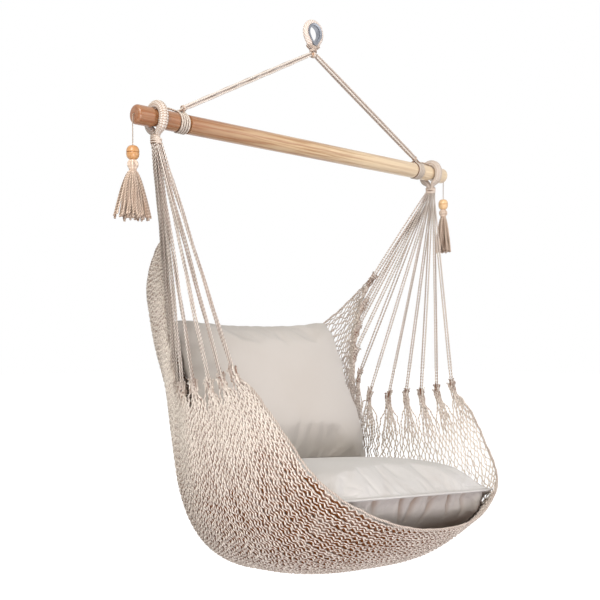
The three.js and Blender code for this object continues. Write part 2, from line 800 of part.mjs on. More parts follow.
// A thick cord bounds the net at the front and at the top, from first knot to first knot.
function selvedge(atFront) {
  const row = atFront ? 0 : NET_ROWS;
  const inward = atFront ? 1 : -1;
  const radius = SELVEDGE_CORD / 2;
  const columns = [];
  for (let column = 1 - NET_COLUMNS; column < NET_COLUMNS; column += 2) columns.push(column);
  const edge = columns.map((column) => latticePoint(column, row));
  const points = edge.map((at, i) => {
    const before = at.clone().sub(edge[Math.max(i - 1, 0)]).normalize();
    const after = edge[Math.min(i + 1, edge.length - 1)].clone().sub(at).normalize();
    const onward = before.clone().add(after).normalize();
    const bend = Math.max(onward.dot(before), onward.dot(after));
    const inside = slingPoint(columnU(columns[i]), (row + inward * 0.5) / NET_ROWS);
    const away = at.clone().sub(inside);
    away.addScaledVector(onward, -away.dot(onward)).normalize();
    return at.clone().addScaledVector(away, (radius + 3 * GAP) / bend);
  });
  return loft(ringsAlong(points, () => radius, 8));
}

// The outline of two cords laid side by side, stretched by a width and a depth.
const TWIN_OUTLINE = [
  [2, 0],
  [1.5, 0.87],
  [0.5, 0.87],
  [-0.5, 0.87],
  [-1.5, 0.87],
  [-2, 0],
  [-1.5, -0.87],
  [-0.5, -0.87],
  [0.5, -0.87],
  [1.5, -0.87],
];

// Fan cords. Each pair runs from under the neck's whipping to a gathering knot
// just off its own tip of the net.
function fanPair(side, pair) {
  const row = 2 * pair + 1;
  const tip = latticePoint(side * NET_COLUMNS, row);
  const normal = latticeNormal(side * NET_COLUMNS, row);
  const middle = (FAN_PAIRS - 1) / 2;
  const rowSide = pair % 2 === 0 ? -1 : 1;
  const startX = eyeX + rowSide * (FAN_CORD + GAP / 2);
  const start = vec(side * startX, (pair - middle) * FAN_PITCH, barZ - NECK_BOTTOM - GAP);
  const heading = start.clone().sub(tip).normalize();
  start.z -= FAN_CORD * (Math.abs(heading.x) + Math.abs(heading.y) / 2);
  const along = start.clone().sub(tip).normalize();
  const clear = GAP + (NET_THICKNESS / 2) * Math.abs(normal.dot(along));
  const foot = tip.clone().addScaledVector(along, clear);
  const across = AXIS_X.clone().addScaledVector(along, -along.x).normalize();
  const over = along.clone().cross(across);
  const length = start.distanceTo(foot);
  const cordHalf = FAN_CORD / 2;
  const knotHalf = GATHER_DIAMETER / 2;
  const stations = [
    [0, cordHalf * 0.5, cordHalf],
    [GATHER_LENGTH * 0.4, knotHalf / 2, knotHalf],
    [GATHER_LENGTH * 0.75, knotHalf / 2.6, knotHalf / 1.3],
    [GATHER_LENGTH, cordHalf, cordHalf],
    [length, cordHalf, cordHalf],
  ];
  const rings = stations.map(([at, wide, deep]) =>
    TWIN_OUTLINE.map(([a, b]) => {
      const crease = Math.abs(a) < 1 && at >= GATHER_LENGTH ? 0.6 : 1;
      const point = foot.clone().addScaledVector(along, at);
      point.addScaledVector(across, a * wide);
      return point.addScaledVector(over, b * deep * crease);
    }),
  );
  return loft(rings);
}

// A stuffed cushion about its seam plane: crown above, belly below, corners rounded,
// sides drawn in between the corners, and a welt round the seam if it is piped.
function cushion(width, depth, crown, belly, rounding, piping) {
  const cells = 12;
  const stations = arcAngles(-Math.PI / 2, Math.PI / 2, cells).map((angle) => Math.sin(angle));
  const outline = (s, t) => {
    const x = s * Math.sqrt(1 - rounding * t * t) * (1 - SIDE_PULL * (1 - t * t) * s * s);
    const y = t * Math.sqrt(1 - rounding * s * s) * (1 - SIDE_PULL * (1 - s * s) * t * t);
    return [(x * width) / 2, (y * depth) / 2];
  };
  const fullness = (s, t) => ((1 - Math.abs(s) ** 2.6) * (1 - Math.abs(t) ** 2.6)) ** 0.55;
  const points = [];
  const faces = [];
  const indexOf = new Map();
  const place = (i, j, level) => {
    const onSeam = i === 0 || j === 0 || i === cells || j === cells;
    const layer = onSeam && piping === 0 ? 0 : level;
    const key = `${i},${j},${layer}`;
    if (!indexOf.has(key)) {
      const [x, y] = outline(stations[i], stations[j]);
      const height = fullness(stations[i], stations[j]) * (level > 0 ? crown : -belly);
      points.push(vec(x, y, height + (level * piping) / 4));
      indexOf.set(key, points.length - 1);
    }
    return indexOf.get(key);
  };
  for (let i = 0; i < cells; i++) {
    for (let j = 0; j < cells; j++) {
      const top = [place(i, j, 1), place(i + 1, j, 1), place(i + 1, j + 1, 1), place(i, j + 1, 1)];
      const low = [place(i, j, -1), place(i + 1, j, -1), place(i + 1, j + 1, -1), place(i, j + 1, -1)];
      faces.push(top[0], top[1], top[2], top[0], top[2], top[3]);
      faces.push(low[0], low[2], low[1], low[0], low[3], low[2]);
    }
  }
  if (piping > 0) {
    const seam = [];
    for (let i = 0; i < cells; i++) seam.push([i, 0]);
    for (let j = 0; j < cells; j++) seam.push([cells, j]);
    for (let i = cells; i > 0; i--) seam.push([i, cells]);
    for (let j = cells; j > 0; j--) seam.push([0, j]);
    const rim = seam.map(([i, j]) => {
      const [x, y] = outline(stations[i], stations[j]);
      const out = vec(x / width, y / depth, 0).normalize().multiplyScalar(piping * 0.6);
      points.push(vec(x, y, 0).add(out));
      return points.length - 1;
    });
    seam.forEach(([i, j], k) => {
      const next = (k + 1) % seam.length;
      const [ni, nj] = seam[next];
      const [top, topNext] = [place(i, j, 1), place(ni, nj, 1)];
      const [low, lowNext] = [place(i, j, -1), place(ni, nj, -1)];
      faces.push(rim[k], rim[next], topNext, rim[k], topNext, top);
      faces.push(low, lowNext, rim[next], low, rim[next], rim[k]);
    });
  }
  return surface(points, faces);
}

function seatCushion(net) {
  const geometry = cushion(SEAT_WIDTH, SEAT_DEPTH, SEAT_CROWN, SEAT_BELLY, SEAT_ROUNDING, PIPING_DIAMETER);
  geometry.rotateX(-THREE.MathUtils.degToRad(SEAT_TILT_DEGREES));
  geometry.rotateY(THREE.MathUtils.degToRad(NET_ROLL_DEGREES));
  const middle = slingPoint(0, 0.3);
  geometry.translate(0, SEAT_CENTRE_Y, middle.z + SEAT_BELLY + SEAT_LIFT);
  return settle(geometry, net, AXIS_Z.clone().negate(), 2 * SEAT_LIFT);
}

function backPillow(obstacles, seat) {
  const lean = THREE.MathUtils.degToRad(PILLOW_LEAN_DEGREES);
  const geometry = cushion(PILLOW_WIDTH, PILLOW_HEIGHT, PILLOW_CROWN, PILLOW_CROWN, PILLOW_ROUNDING, 0);
  geometry.rotateX(Math.PI / 2 - lean);
  seat.computeBoundingBox();
  const up = vec(0, Math.sin(lean), Math.cos(lean));
  const start = vec(0, PILLOW_FOOT_Y, seat.boundingBox.max.z + PILLOW_LIFT);
  start.addScaledVector(up, PILLOW_HEIGHT / 2);
  geometry.translate(start.x, start.y, start.z);
  return settle(geometry, obstacles, up.clone().negate(), 5 * PILLOW_LIFT);
}

// Tassel: twine from the tip's hole, a bead that slides on it, a knot and a fluted skirt.
const tasselX = BAR_LENGTH / 2 + TWINE / 2 + 2;
const knotTopZ = -BEAD_DROP - BEAD_LENGTH - GAP;
const skirtTopZ = knotTopZ - TASSEL_KNOT_LENGTH - GAP;

function tasselTwine(side) {
  const bend = TWINE * 1.5;
  const points = [
    vec(BAR_LENGTH / 2 - TIP_HOLE_DEPTH / 2, 0, 0),
    vec(tasselX - bend, 0, 0),
    vec(tasselX - bend * 0.3, 0, -bend * 0.3),
    vec(tasselX, 0, -bend),
    vec(tasselX, 0, knotTopZ + GAP),
  ];
  const stations = points.map((p) => vec(side * p.x, p.y, barZ + p.z));
  return loft(ringsAlong(stations, () => TWINE / 2, 6));
}

function bead() {
  const bore = TWINE / 2 + 0.6;
  const radius = BEAD_DIAMETER / 2;
  const half = BEAD_LENGTH / 2;
  const profile = [
    [bore, -half],
    [radius * 0.55, -half],
    [radius * 0.92, -half * 0.55],
    [radius, -half * 0.08],
    [radius - 1, 0],
    [radius, half * 0.08],
    [radius * 0.92, half * 0.55],
    [radius * 0.55, half],
    [bore, half],
    [bore, -half],
  ];
  return turned(profile, 14);
}

function tasselKnot() {
  const radius = TASSEL_KNOT_DIAMETER / 2;
  const height = TASSEL_KNOT_LENGTH;
  const profile = [
    [0, -height],
    [TASSEL_WAIST / 2, -height],
    [radius * 0.86, -height * 0.82],
    [radius, -height * 0.5],
    [radius * 0.86, -height * 0.18],
    [radius * 0.45, 0],
    [0, 0],
  ];
  return turned(profile, 12);
}

function tasselSkirt() {
  const profile = [[0, 0], [TASSEL_WAIST / 2, 0]];
  const bands = 4;
  for (let i = 1; i <= bands; i++) {
    const share = i / bands;
    const flare = Math.sin((share * Math.PI) / 2) ** 0.9;
    profile.push([TASSEL_WAIST / 2 + (SKIRT_RADIUS - TASSEL_WAIST / 2) * flare, -SKIRT_LENGTH * share]);
  }
  profile.push([SKIRT_RADIUS * 0.5, -SKIRT_LENGTH * 0.94], [0, -SKIRT_LENGTH * 0.92]);
  const flutes = (at) => {
    for (let i = 0; i < at.count; i++) {
      const [x, y, z] = [at.getX(i), at.getY(i), at.getZ(i)];
      const wave = Math.cos(SKIRT_FLUTES * Math.atan2(y, x));
      const depth = 1 - 0.1 * Math.min(1, -z / SKIRT_LENGTH) * (1 - wave) * 0.5;
      at.setXYZ(i, x * depth, y * depth, z);
    }
  };
  return turned(profile.reverse(), SKIRT_FLUTES * 2, flutes);
}

function hungAt(geometry, side, z) {
  geometry.translate(side * tasselX, 0, barZ + z);
  return geometry;
}

// Assembly
const SIDES = [
  [-1, "left"],
  [1, "right"],
];

addPiece("thimble", thimble(), STEEL, 0.35, 1);
addPiece("eye_rope", eyeRope(), COTTON);
addPiece("throat_seizing", throatSeizing(), COTTON);
addPiece("throat_knot", throatKnot(), COTTON);
addPiece("spreader_bar", spreaderBar(), BIRCH, 0.45);

for (const [side, word] of SIDES) {
  LEG_CORNERS.forEach((cornerSides, i) => {
    addPiece(`leg_cord_${word}_${i + 1}`, legCord(side, cornerSides), COTTON);
  });
  addPiece(`leg_whipping_${word}`, legWhipping(side), COTTON);
  addPiece(`hitch_winding_${word}`, hitchWinding(side), COTTON);
  addPiece(`keeper_cord_${word}`, keeperCord(side), CORD_SHADE);
  addPiece(`side_eye_${word}`, sideEye(side), COTTON);
  addPiece(`neck_whipping_${word}`, neckWhipping(side), COTTON);
  for (let pair = 0; pair < FAN_PAIRS; pair++) {
    const number = String(pair + 1).padStart(2, "0");
    addPiece(`fan_cords_${word}_${number}`, fanPair(side, pair), COTTON);
  }
  addPiece(`tassel_twine_${word}`, tasselTwine(side), CORD_SHADE);
  addPiece(`bead_${word}`, hungAt(bead(), side, -BEAD_DROP - BEAD_LENGTH / 2), BIRCH, 0.5);
  addPiece(`tassel_knot_${word}`, hungAt(tasselKnot(), side, knotTopZ), COTTON);
  addPiece(`tassel_skirt_${word}`, hungAt(tasselSkirt(), side, skirtTopZ), CORD_SHADE);
}

const net = slingNet();
const frontSelvedge = selvedge(true);
const topSelvedge = selvedge(false);
const seat = seatCushion([net, frontSelvedge]);
const pillow = backPillow([net, seat, topSelvedge], seat);
addPiece("sling_net", net, COTTON);
addPiece("front_selvedge", frontSelvedge, COTTON);
addPiece("top_selvedge", topSelvedge, COTTON);
addPiece("seat_cushion", seat, CANVAS_LIGHT);
addPiece("back_pillow", pillow, CANVAS);

export default chair;
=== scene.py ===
# %% [markdown]
# # A hammock chair, hung by its eye
# The chair is nearly all cord: a roped eye, two legs, a wooden bar, two fans and a knotted net that
# holds a seat cushion and a back pillow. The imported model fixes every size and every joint, and this
# lesson gives each of its pieces a fine surface and a finish.

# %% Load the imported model
import math

import bpy
import numpy as np
from mathutils.kdtree import KDTree
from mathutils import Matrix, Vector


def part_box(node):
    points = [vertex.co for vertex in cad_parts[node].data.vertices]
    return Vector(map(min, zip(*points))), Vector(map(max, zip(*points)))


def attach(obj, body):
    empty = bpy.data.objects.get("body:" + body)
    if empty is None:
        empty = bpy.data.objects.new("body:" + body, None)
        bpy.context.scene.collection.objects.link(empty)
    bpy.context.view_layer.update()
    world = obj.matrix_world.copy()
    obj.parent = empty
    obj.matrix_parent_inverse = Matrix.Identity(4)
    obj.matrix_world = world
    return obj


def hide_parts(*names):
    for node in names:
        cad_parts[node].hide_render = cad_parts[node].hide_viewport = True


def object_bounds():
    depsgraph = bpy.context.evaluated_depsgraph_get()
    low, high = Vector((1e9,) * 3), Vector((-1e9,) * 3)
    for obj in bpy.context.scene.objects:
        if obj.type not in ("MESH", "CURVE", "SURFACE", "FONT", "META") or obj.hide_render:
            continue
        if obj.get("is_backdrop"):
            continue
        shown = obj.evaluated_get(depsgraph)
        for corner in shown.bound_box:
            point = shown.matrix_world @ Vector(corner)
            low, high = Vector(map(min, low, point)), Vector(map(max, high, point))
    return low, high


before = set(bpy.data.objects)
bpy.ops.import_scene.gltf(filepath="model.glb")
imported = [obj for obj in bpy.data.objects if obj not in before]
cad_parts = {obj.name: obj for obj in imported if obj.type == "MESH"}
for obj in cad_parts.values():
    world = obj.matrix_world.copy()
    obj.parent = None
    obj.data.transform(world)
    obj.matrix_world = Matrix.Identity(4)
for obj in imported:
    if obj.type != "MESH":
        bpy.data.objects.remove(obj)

SIDES = ((-1, "left"), (1, "right"))
cad_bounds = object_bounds()
print("box of the packed model, in metres:", cad_bounds)

# %% [markdown]
# ## Camera
# The photograph was taken from the front left, at the height of the back pillow. A level camera keeps
# upright lines upright, and a small shift lifts the frame instead of a tilt.

# %% Camera
CAMERA_PLACE = (-1.4235, -1.4518, -0.7057)
CAMERA_TURN = math.radians(-43.6)

bpy.ops.object.camera_add(location=CAMERA_PLACE, rotation=(math.radians(90), 0, CAMERA_TURN))
camera = bpy.context.object
camera.data.lens = 54
camera.data.shift_y = 0.065
bpy.context.scene.camera = camera
print("camera at", CAMERA_PLACE)

# %% [markdown]
# ## Shaping and seating a piece
# Every new piece stands for the plain solids that it hides, rides on the body that carries it, and
# takes the finish that it is given. One helper does all of that, so that no piece forgets a step.


# %% Helpers for pieces
def close_mesh():
    bpy.ops.object.mode_set(mode="OBJECT")


def open_mesh(select="SELECT"):
    """Enters edit mode with all of the mesh selected, or with none of it."""
    bpy.ops.object.mode_set(mode="EDIT")
    bpy.ops.mesh.select_all(action=select)


def select_where(piece, kind, wanted):
    """Selects the vertices, edges or polygons that pass a test, in edit mode."""
    bpy.ops.mesh.select_all(action="DESELECT")
    close_mesh()
    for element in getattr(piece.data, kind):
        element.select = wanted(element)
    bpy.ops.object.mode_set(mode="EDIT")


def deselect():
    """Nothing may be selected before a new piece is shaped, because operators act on all that is."""
    if bpy.context.object and bpy.context.object.mode == "EDIT":
        close_mesh()
    bpy.ops.object.select_all(action="DESELECT")


def make_active(piece):
    deselect()
    piece.select_set(True)
    bpy.context.view_layer.objects.active = piece


def bake_place(piece):
    """Moves an object's place, turn and scale into its mesh."""
    make_active(piece)
    bpy.ops.object.transform_apply(location=True, rotation=True, scale=True)


def apply_all(piece):
    make_active(piece)
    for modifier in list(piece.modifiers):
        bpy.ops.object.modifier_apply(modifier=modifier.name)


def new_piece(name, corners, edges, faces):
    mesh = bpy.data.meshes.new(name)
    mesh.from_pydata(corners, edges, faces)
    piece = bpy.data.objects.new(name, mesh)
    bpy.context.scene.collection.objects.link(piece)
    return piece


def seat(piece, body, material, nodes):
    piece.data.materials.clear()
    piece.data.materials.append(material)
    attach(piece, body)
    if nodes:
        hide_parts(*nodes)
    print(piece.name, "has", len(piece.data.polygons), "faces and stands for", len(nodes), "nodes")


# %% [markdown]
# ## Sums in a material
# A material is a graph of nodes. A value here is one output of that graph, and arithmetic written
# with it adds the nodes that work it out, so that the effects below read like formulas.


# %% Values of a node graph
class Value:
    """An output of a node graph."""

    def __init__(self, tree, socket):
        self.tree = tree
        self.socket = socket


def feed(value, socket):
    """Wires a value to a socket, or sets the socket to a plain number or colour."""
    if isinstance(value, Value):
        value.tree.links.new(value.socket, socket)
    else:
        socket.default_value = value


def calc(operation, *values):
    tree = next(value.tree for value in values if isinstance(value, Value))
    node = tree.nodes.new("ShaderNodeMath")
    node.operation = operation
    for value, socket in zip(values, node.inputs):
        feed(value, socket)
    return Value(tree, node.outputs[0])


SIGNS = {"add": "ADD", "sub": "SUBTRACT", "mul": "MULTIPLY", "truediv": "DIVIDE", "pow": "POWER"}
for sign, operation in SIGNS.items():
    setattr(Value, f"__{sign}__", lambda own, other, operation=operation: calc(operation, own, other))
Value.__rsub__ = lambda own, other: calc("SUBTRACT", other, own)
Value.__abs__ = lambda own: calc("ABSOLUTE", own)


def sine(value):
    return calc("SINE", value)


# %% Node helpers
def linear(red, green, blue):
    """A colour read off a screen, 0 to 255, as the light values that shaders want."""
    return tuple((value / 255) ** 2.2 for value in (red, green, blue)) + (1.0,)


def blend_colours(share, first, second):
    node = share.tree.nodes.new("ShaderNodeMix")
    node.data_type = "RGBA"
    for value, socket in ((share, node.inputs["Factor"]), (first, node.inputs[6]), (second, node.inputs[7])):
        feed(value, socket)
    return Value(share.tree, node.outputs[2])


def spread_value(value, low, high):
    """Maps low..high to 0..1, smoothly and clamped."""
    node = value.tree.nodes.new("ShaderNodeMapRange")
    node.interpolation_type = "SMOOTHSTEP"
    for given, label in ((value, "Value"), (low, "From Min"), (high, "From Max")):
        feed(given, node.inputs[label])
    return Value(value.tree, node.outputs["Result"])


def noise(place, scale, detail):
    node = place.tree.nodes.new("ShaderNodeTexNoise")
    for given, label in ((place, "Vector"), (scale, "Scale"), (detail, "Detail")):
        feed(given, node.inputs[label])
    return Value(place.tree, node.outputs["Fac"])


def object_place(tree, scale=(1, 1, 1)):
    where = tree.nodes.new("ShaderNodeTexCoord")
    mapping = tree.nodes.new("ShaderNodeMapping")
    mapping.inputs["Scale"].default_value = scale
    tree.links.new(where.outputs["Object"], mapping.inputs["Vector"])
    return Value(tree, mapping.outputs["Vector"])


def split_vector(vector):
    split = vector.tree.nodes.new("ShaderNodeSeparateXYZ")
    feed(vector, split.inputs["Vector"])
    return [Value(vector.tree, output) for output in split.outputs]


def cord_place(tree):
    """The share of a turn round a cord, and the metres along it, from the cord's own map."""
    lay = tree.nodes.new("ShaderNodeUVMap")
    lay.uv_map = "lay"
    return split_vector(Value(tree, lay.outputs["UV"]))[:2]


def read_attribute(tree, name):
    node = tree.nodes.new("ShaderNodeAttribute")
    node.attribute_name = name
    return Value(tree, node.outputs["Fac"])


def effect(name, outputs, **inputs):
    """Turns the function under it into a node group with named inputs and outputs."""
    def build(draw):
        tree = bpy.data.node_groups.new(name, "ShaderNodeTree")
        for label, value in inputs.items():
            socket = tree.interface.new_socket(name=label, in_out="INPUT", socket_type="NodeSocketFloat")
            socket.default_value = value
        for label in outputs:
            tree.interface.new_socket(name=label, in_out="OUTPUT", socket_type="NodeSocketFloat")
        given = tree.nodes.new("NodeGroupInput")
        out = tree.nodes.new("NodeGroupOutput")
        results = draw(tree, *(Value(tree, given.outputs[label]) for label in inputs))
        for value, label in zip(results, outputs):
            feed(value, out.inputs[label])
        print("made group", name)
        return tree
    return build


def use_group(tree, group, **values):
    """The outputs of a node group, in order."""
    node = tree.nodes.new("ShaderNodeGroup")
    node.node_tree = group
    for label, value in values.items():
        feed(value, node.inputs[label])
    return [Value(tree, output) for output in node.outputs]


# %% [markdown]
# ## Shared effects
# Six effects turn up in the finishes. Plied cord has strands that wind round it, with a shaded groove
# between them. A cord in a net is darker on its flanks, where its neighbours keep the light off.
# Cotton has a soft mottle and fine fibres. Canvas has threads, wood has long streaks, and a worked
# cover has painted shade where its V-shaped stitches meet.


# %% Cord, cotton and canvas
@effect("ply", ("Height", "Groove"), Plies=3.0, Lay=0.012)
def ply(tree, plies, lay):
    turn, along = cord_place(tree)
    height = abs(calc("COSINE", (turn + along / lay) * (plies * math.pi))) ** 0.6
    return height, 1.0 - height


@effect("flank", ("Shade",), Sharpness=3.0)
def flank(tree, sharpness):
    turn, along = cord_place(tree)
    return (abs(sine(turn * (2 * math.pi))) ** sharpness,)


@effect("cotton", ("Mottle", "Fuzz"), Patch=22.0, Fibre=900.0)
def cotton(tree, patch, fibre):
    place = object_place(tree)
    return noise(place, patch, 4.0), noise(place, fibre, 2.0)


@effect("canvas", ("Height",), Threads=900.0)
def canvas(tree, threads):
    x, y, z = split_vector(object_place(tree))
    rate = threads * (2 * math.pi)
    return (sine(x * rate) * sine((y + z) * rate),)


# %% Grain and stitches
STITCH_LENGTH = 0.0042
STITCH_COLUMNS = 8
STITCH_LEAN = 0.9


@effect("grain", ("Streaks", "Rings"), Streak=60.0, Ring=9.0)
def grain(tree, streak, ring):
    fine = object_place(tree, scale=(0.03, 1, 1))
    broad = object_place(tree, scale=(0.06, 1, 1))
    return noise(fine, streak * 8.0, 6.0), noise(broad, ring * 7.0, 3.0)


@effect("stitch", ("Shade",), Length=STITCH_LENGTH)
def stitch(tree, length):
    """Painted shade where stitches meet, in step with the relief of the cover itself."""
    turn, along = cord_place(tree)
    column = turn * STITCH_COLUMNS
    lean = abs(calc("FRACT", column) - 0.5) * STITCH_LEAN
    ridge = abs(sine((along / length + lean) * math.pi))
    seam = abs(sine(column * math.pi)) ** 0.4
    return ((1.0 - ridge * seam) ** 1.5,)


# %% [markdown]
# ## Finishes
# A finish starts from an empty Principled shader. Cord finishes differ only in their colours, in how
# many plies they show and in how much their grooves, flanks and tones shade them, so one recipe makes
# them all. Cotton has hardly any gloss.


# %% Recipes for finishes
COTTON_GLOSS = 0.08


def new_finish(name, roughness, **constants):
    material = bpy.data.materials.new(name)
    material.use_nodes = True
    shader = material.node_tree.nodes["Principled BSDF"]
    shader.inputs["Roughness"].default_value = roughness
    for label, value in constants.items():
        shader.inputs[label.replace("_", " ")].default_value = value
    return material, material.node_tree, shader


def add_bump(shader, height, distance):
    bump = height.tree.nodes.new("ShaderNodeBump")
    bump.inputs["Distance"].default_value = distance
    bump.inputs["Strength"].default_value = 1.0
    feed(height, bump.inputs["Height"])
    height.tree.links.new(bump.outputs["Normal"], shader.inputs["Normal"])


def cord_finish(name, light, shaded, plies, lay, groove, flanks=0.0, tones=0.35, sharpness=3.0):
    """A cotton cord: light, and shaded in its grooves, on its flanks and where its tone is high."""
    material, tree, shader = new_finish(name, 0.95, Specular_IOR_Level=COTTON_GLOSS)
    strand, between = use_group(tree, ply, Plies=plies, Lay=lay)
    mottle, fuzz = use_group(tree, cotton, Patch=35.0, Fibre=1400.0)
    shares = [between * groove]
    if flanks > 0:
        shares += [use_group(tree, flank, Sharpness=sharpness)[0] * flanks]
    shares += [(mottle + 0.5) * read_attribute(tree, "tone") * tones]
    colour = linear(*light)
    for share in shares:
        colour = blend_colours(share, colour, linear(*shaded))
    feed(colour, shader.inputs["Base Color"])
    add_bump(shader, strand + fuzz * 0.3, 0.0006)
    return material


def cover_recipe(name, light, shaded):
    """A cover worked in V-shaped stitches."""
    material, tree, shader = new_finish(name, 0.95, Specular_IOR_Level=COTTON_GLOSS)
    meeting = use_group(tree, stitch, Length=STITCH_LENGTH)[0]
    mottle, fuzz = use_group(tree, cotton, Patch=60.0, Fibre=1400.0)
    # Painted shade where the stitches meet, with a little mottle.
    share = meeting * 0.85 + mottle * 0.2
    feed(blend_colours(share, linear(*light), linear(*shaded)), shader.inputs["Base Color"])
    add_bump(shader, fuzz, 0.0003)
    return material


# %% Cord finishes
# TAN and BROWN are the shaded colours of the cords: painted shade in grooves and on flanks, and the tone,
# which in the net is partly painted shade.
TAN = (176, 126, 84)
BROWN = (110, 68, 40)

net_finish = cord_finish("net cotton", (255, 247, 235), BROWN, 2, 0.008, 0.08,
                         flanks=0.5, tones=1.0, sharpness=5)
fan_finish = cord_finish("fan cotton", (255, 247, 236), BROWN, 2, 0.017, 0.4, flanks=0.65, sharpness=3.5)
leg_finish = cord_finish("leg cotton", (224, 215, 204), BROWN, 3, 0.022, 0.2,
                         flanks=0.5, tones=0.15, sharpness=5)
hitch_finish = cord_finish("hitch cotton", (208, 198, 185), BROWN, 3, 0.022, 0.25,
                           flanks=0.85, tones=0.4, sharpness=3.5)
whipping_finish = cord_finish("whipping cotton", (212, 204, 194), TAN, 2, 0.007, 0.35,
                              flanks=0.8, tones=0.25)
rope_finish = cord_finish("eye rope cotton", (226, 218, 210), TAN, 6, 0.045, 0.5, tones=0.3)
cover_finish = cover_recipe("eye cover cotton", (224, 217, 208), (146, 112, 84))
twine_finish = cord_finish("twine cotton", (226, 210, 190), BROWN, 2, 0.006, 0.4, flanks=0.6)
tassel_finish = cord_finish("tassel yarn", (255, 235, 214), BROWN, 2, 0.014, 0.5,
                            flanks=0.55, tones=0.5, sharpness=5)
print("cord finishes ready")

# %% [markdown]
# ### Canvas, wood and steel
# The covers are plain cotton canvas: its threads are far finer than a pixel, so what shows is a soft
# sheen and faint clouds of tone. The bar is pale lacquered wood, redder at its left tip. The thimble
# is dull zinc-plated steel.


# %% Canvas, wood and steel
def canvas_finish(name, light, deep, painted_shade_colour):
    """Plain canvas. The attribute painted_shade, from 0 to 1, darkens creases, the seam and the lower side as
    painted shade.
    """
    material, tree, shader = new_finish(name, 0.9, Sheen_Weight=0.3, Sheen_Roughness=0.5)
    mottle, fuzz = use_group(tree, cotton, Patch=7.0, Fibre=500.0)
    weave = use_group(tree, canvas, Threads=850.0)[0]
    colour = blend_colours(spread_value(mottle, 0.35, 0.75) * 0.5, linear(*light), linear(*deep))
    # Painted shade: creases, the seam and the lower side are blended towards the shade colour.
    colour = blend_colours(read_attribute(tree, "painted_shade") * 0.8, colour, linear(*painted_shade_colour))
    feed(colour, shader.inputs["Base Color"])
    add_bump(shader, weave + fuzz * 0.8, 0.00012)
    return material


def wood_finish(name, pale, honey, red, bright):
    """Lacquered wood that is redder at one tip of the bar, paler at the other, with dark growth lines."""
    material, tree, shader = new_finish(name, 0.36, Coat_Weight=0.35, Coat_Roughness=0.2)
    streaks, rings = use_group(tree, grain, Streak=30.0, Ring=6.0)
    x = split_vector(object_place(tree))[0]
    colour = blend_colours(spread_value(streaks, 0.4, 0.62), linear(*pale), linear(*honey))
    colour = blend_colours(spread_value(rings, 0.5, 0.62) * 0.5, colour, linear(*red))
    colour = blend_colours(spread_value(x, -0.1, 0.45) * 0.6, colour, linear(*bright))
    colour = blend_colours(spread_value(x * -1.0, -0.05, 0.48) * 0.8, colour, linear(*red))
    feed(colour, shader.inputs["Base Color"])
    add_bump(shader, streaks, 0.0002)
    return material


def steel_finish():
    material, tree, shader = new_finish("thimble steel", 0.3, Metallic=1.0)
    mottle = use_group(tree, cotton, Patch=160.0, Fibre=2500.0)[0]
    feed(blend_colours(mottle, linear(112, 114, 122), linear(176, 180, 188)), shader.inputs["Base Color"])
    feed(mottle * 0.25 + 0.2, shader.inputs["Roughness"])
    return material


seat_finish = canvas_finish("seat canvas", (195, 191, 186), (185, 179, 172), (142, 116, 94))
pillow_finish = canvas_finish("pillow canvas", (193, 186, 178), (184, 175, 165), (152, 128, 108))
bar_finish = wood_finish("bar wood", (204, 176, 137), (162, 121, 80), (130, 72, 33), (226, 208, 178))
bead_finish = wood_finish("bead wood", (224, 184, 132), (186, 136, 84), (182, 130, 80), (226, 192, 146))
thimble_finish = steel_finish()
print("canvas, wood and steel ready")

# %% [markdown]
# ## How a cord is built
# A cord is a ring of points carried along a run. The ring starts at a chosen direction, such as the
# net's own normal, so that a finish can tell its flanks from its face. Many cords share one mesh, and
# each gets a tone of its own, because no two lengths of cotton take the light alike. In the net the
# tone also carries painted shade, where a yarn's twist brings it level with its twin.


# %% Run helpers
def unit(vectors):
    return vectors / np.maximum(np.linalg.norm(vectors, axis=-1, keepdims=True), 1e-12)


def smooth_step(low, high, values):
    share = np.clip((values - low) / (high - low), 0, 1)
    return share * share * (3 - 2 * share)


def walked(points):
    """How far along its run each point lies, in metres."""
    return np.append(0, np.cumsum(np.linalg.norm(np.diff(points[:, :3], axis=0), axis=1)))


def read_columns(wanted, known, table):
    """Each column of a table, read between its known places."""
    return np.stack([np.interp(wanted, known, column) for column in table.T], axis=1)


def along_curve(points, shares):
    """Points at shares of the length of a centripetal Catmull-Rom curve.

    Columns after the third, such as a radius, are carried along with the place.
    """
    knots = np.array(points, float)
    ends = np.vstack([2 * knots[0] - knots[1], knots, 2 * knots[-1] - knots[-2]])
    t = np.linspace(0, 1, 41)[:, None]
    dense = []
    for p0, p1, p2, p3 in zip(ends, ends[1:], ends[2:], ends[3:]):
        d0, d1, d2 = (np.linalg.norm((b - a)[:3]) ** 0.5 for a, b in ((p0, p1), (p1, p2), (p2, p3)))
        leave = ((p1 - p0) / d0 - (p2 - p0) / (d0 + d1) + (p2 - p1) / d1) * d1
        arrive = ((p2 - p1) / d1 - (p3 - p1) / (d1 + d2) + (p3 - p2) / d2) * d1
        square = 3 * (p2 - p1) - 2 * leave - arrive
        cube = 2 * (p1 - p2) + leave + arrive
        dense.append((p1 + leave * t + square * t**2 + cube * t**3)[:-1])
    dense.append(knots[-1:])
    run = np.vstack(dense)
    length = walked(run)
    return read_columns(np.asarray(shares) * length[-1], length, run)


def carried_directions(tangents):
    """A direction square to each tangent, carried along the run with the least turning."""
    direction = np.array((0, 0, 1) if abs(tangents[0][2]) < 0.8 else (1, 0, 0), float)
    directions = []
    for tangent in tangents:
        direction = unit(direction - tangent * direction.dot(tangent))
        directions.append(direction)
    return np.array(directions)


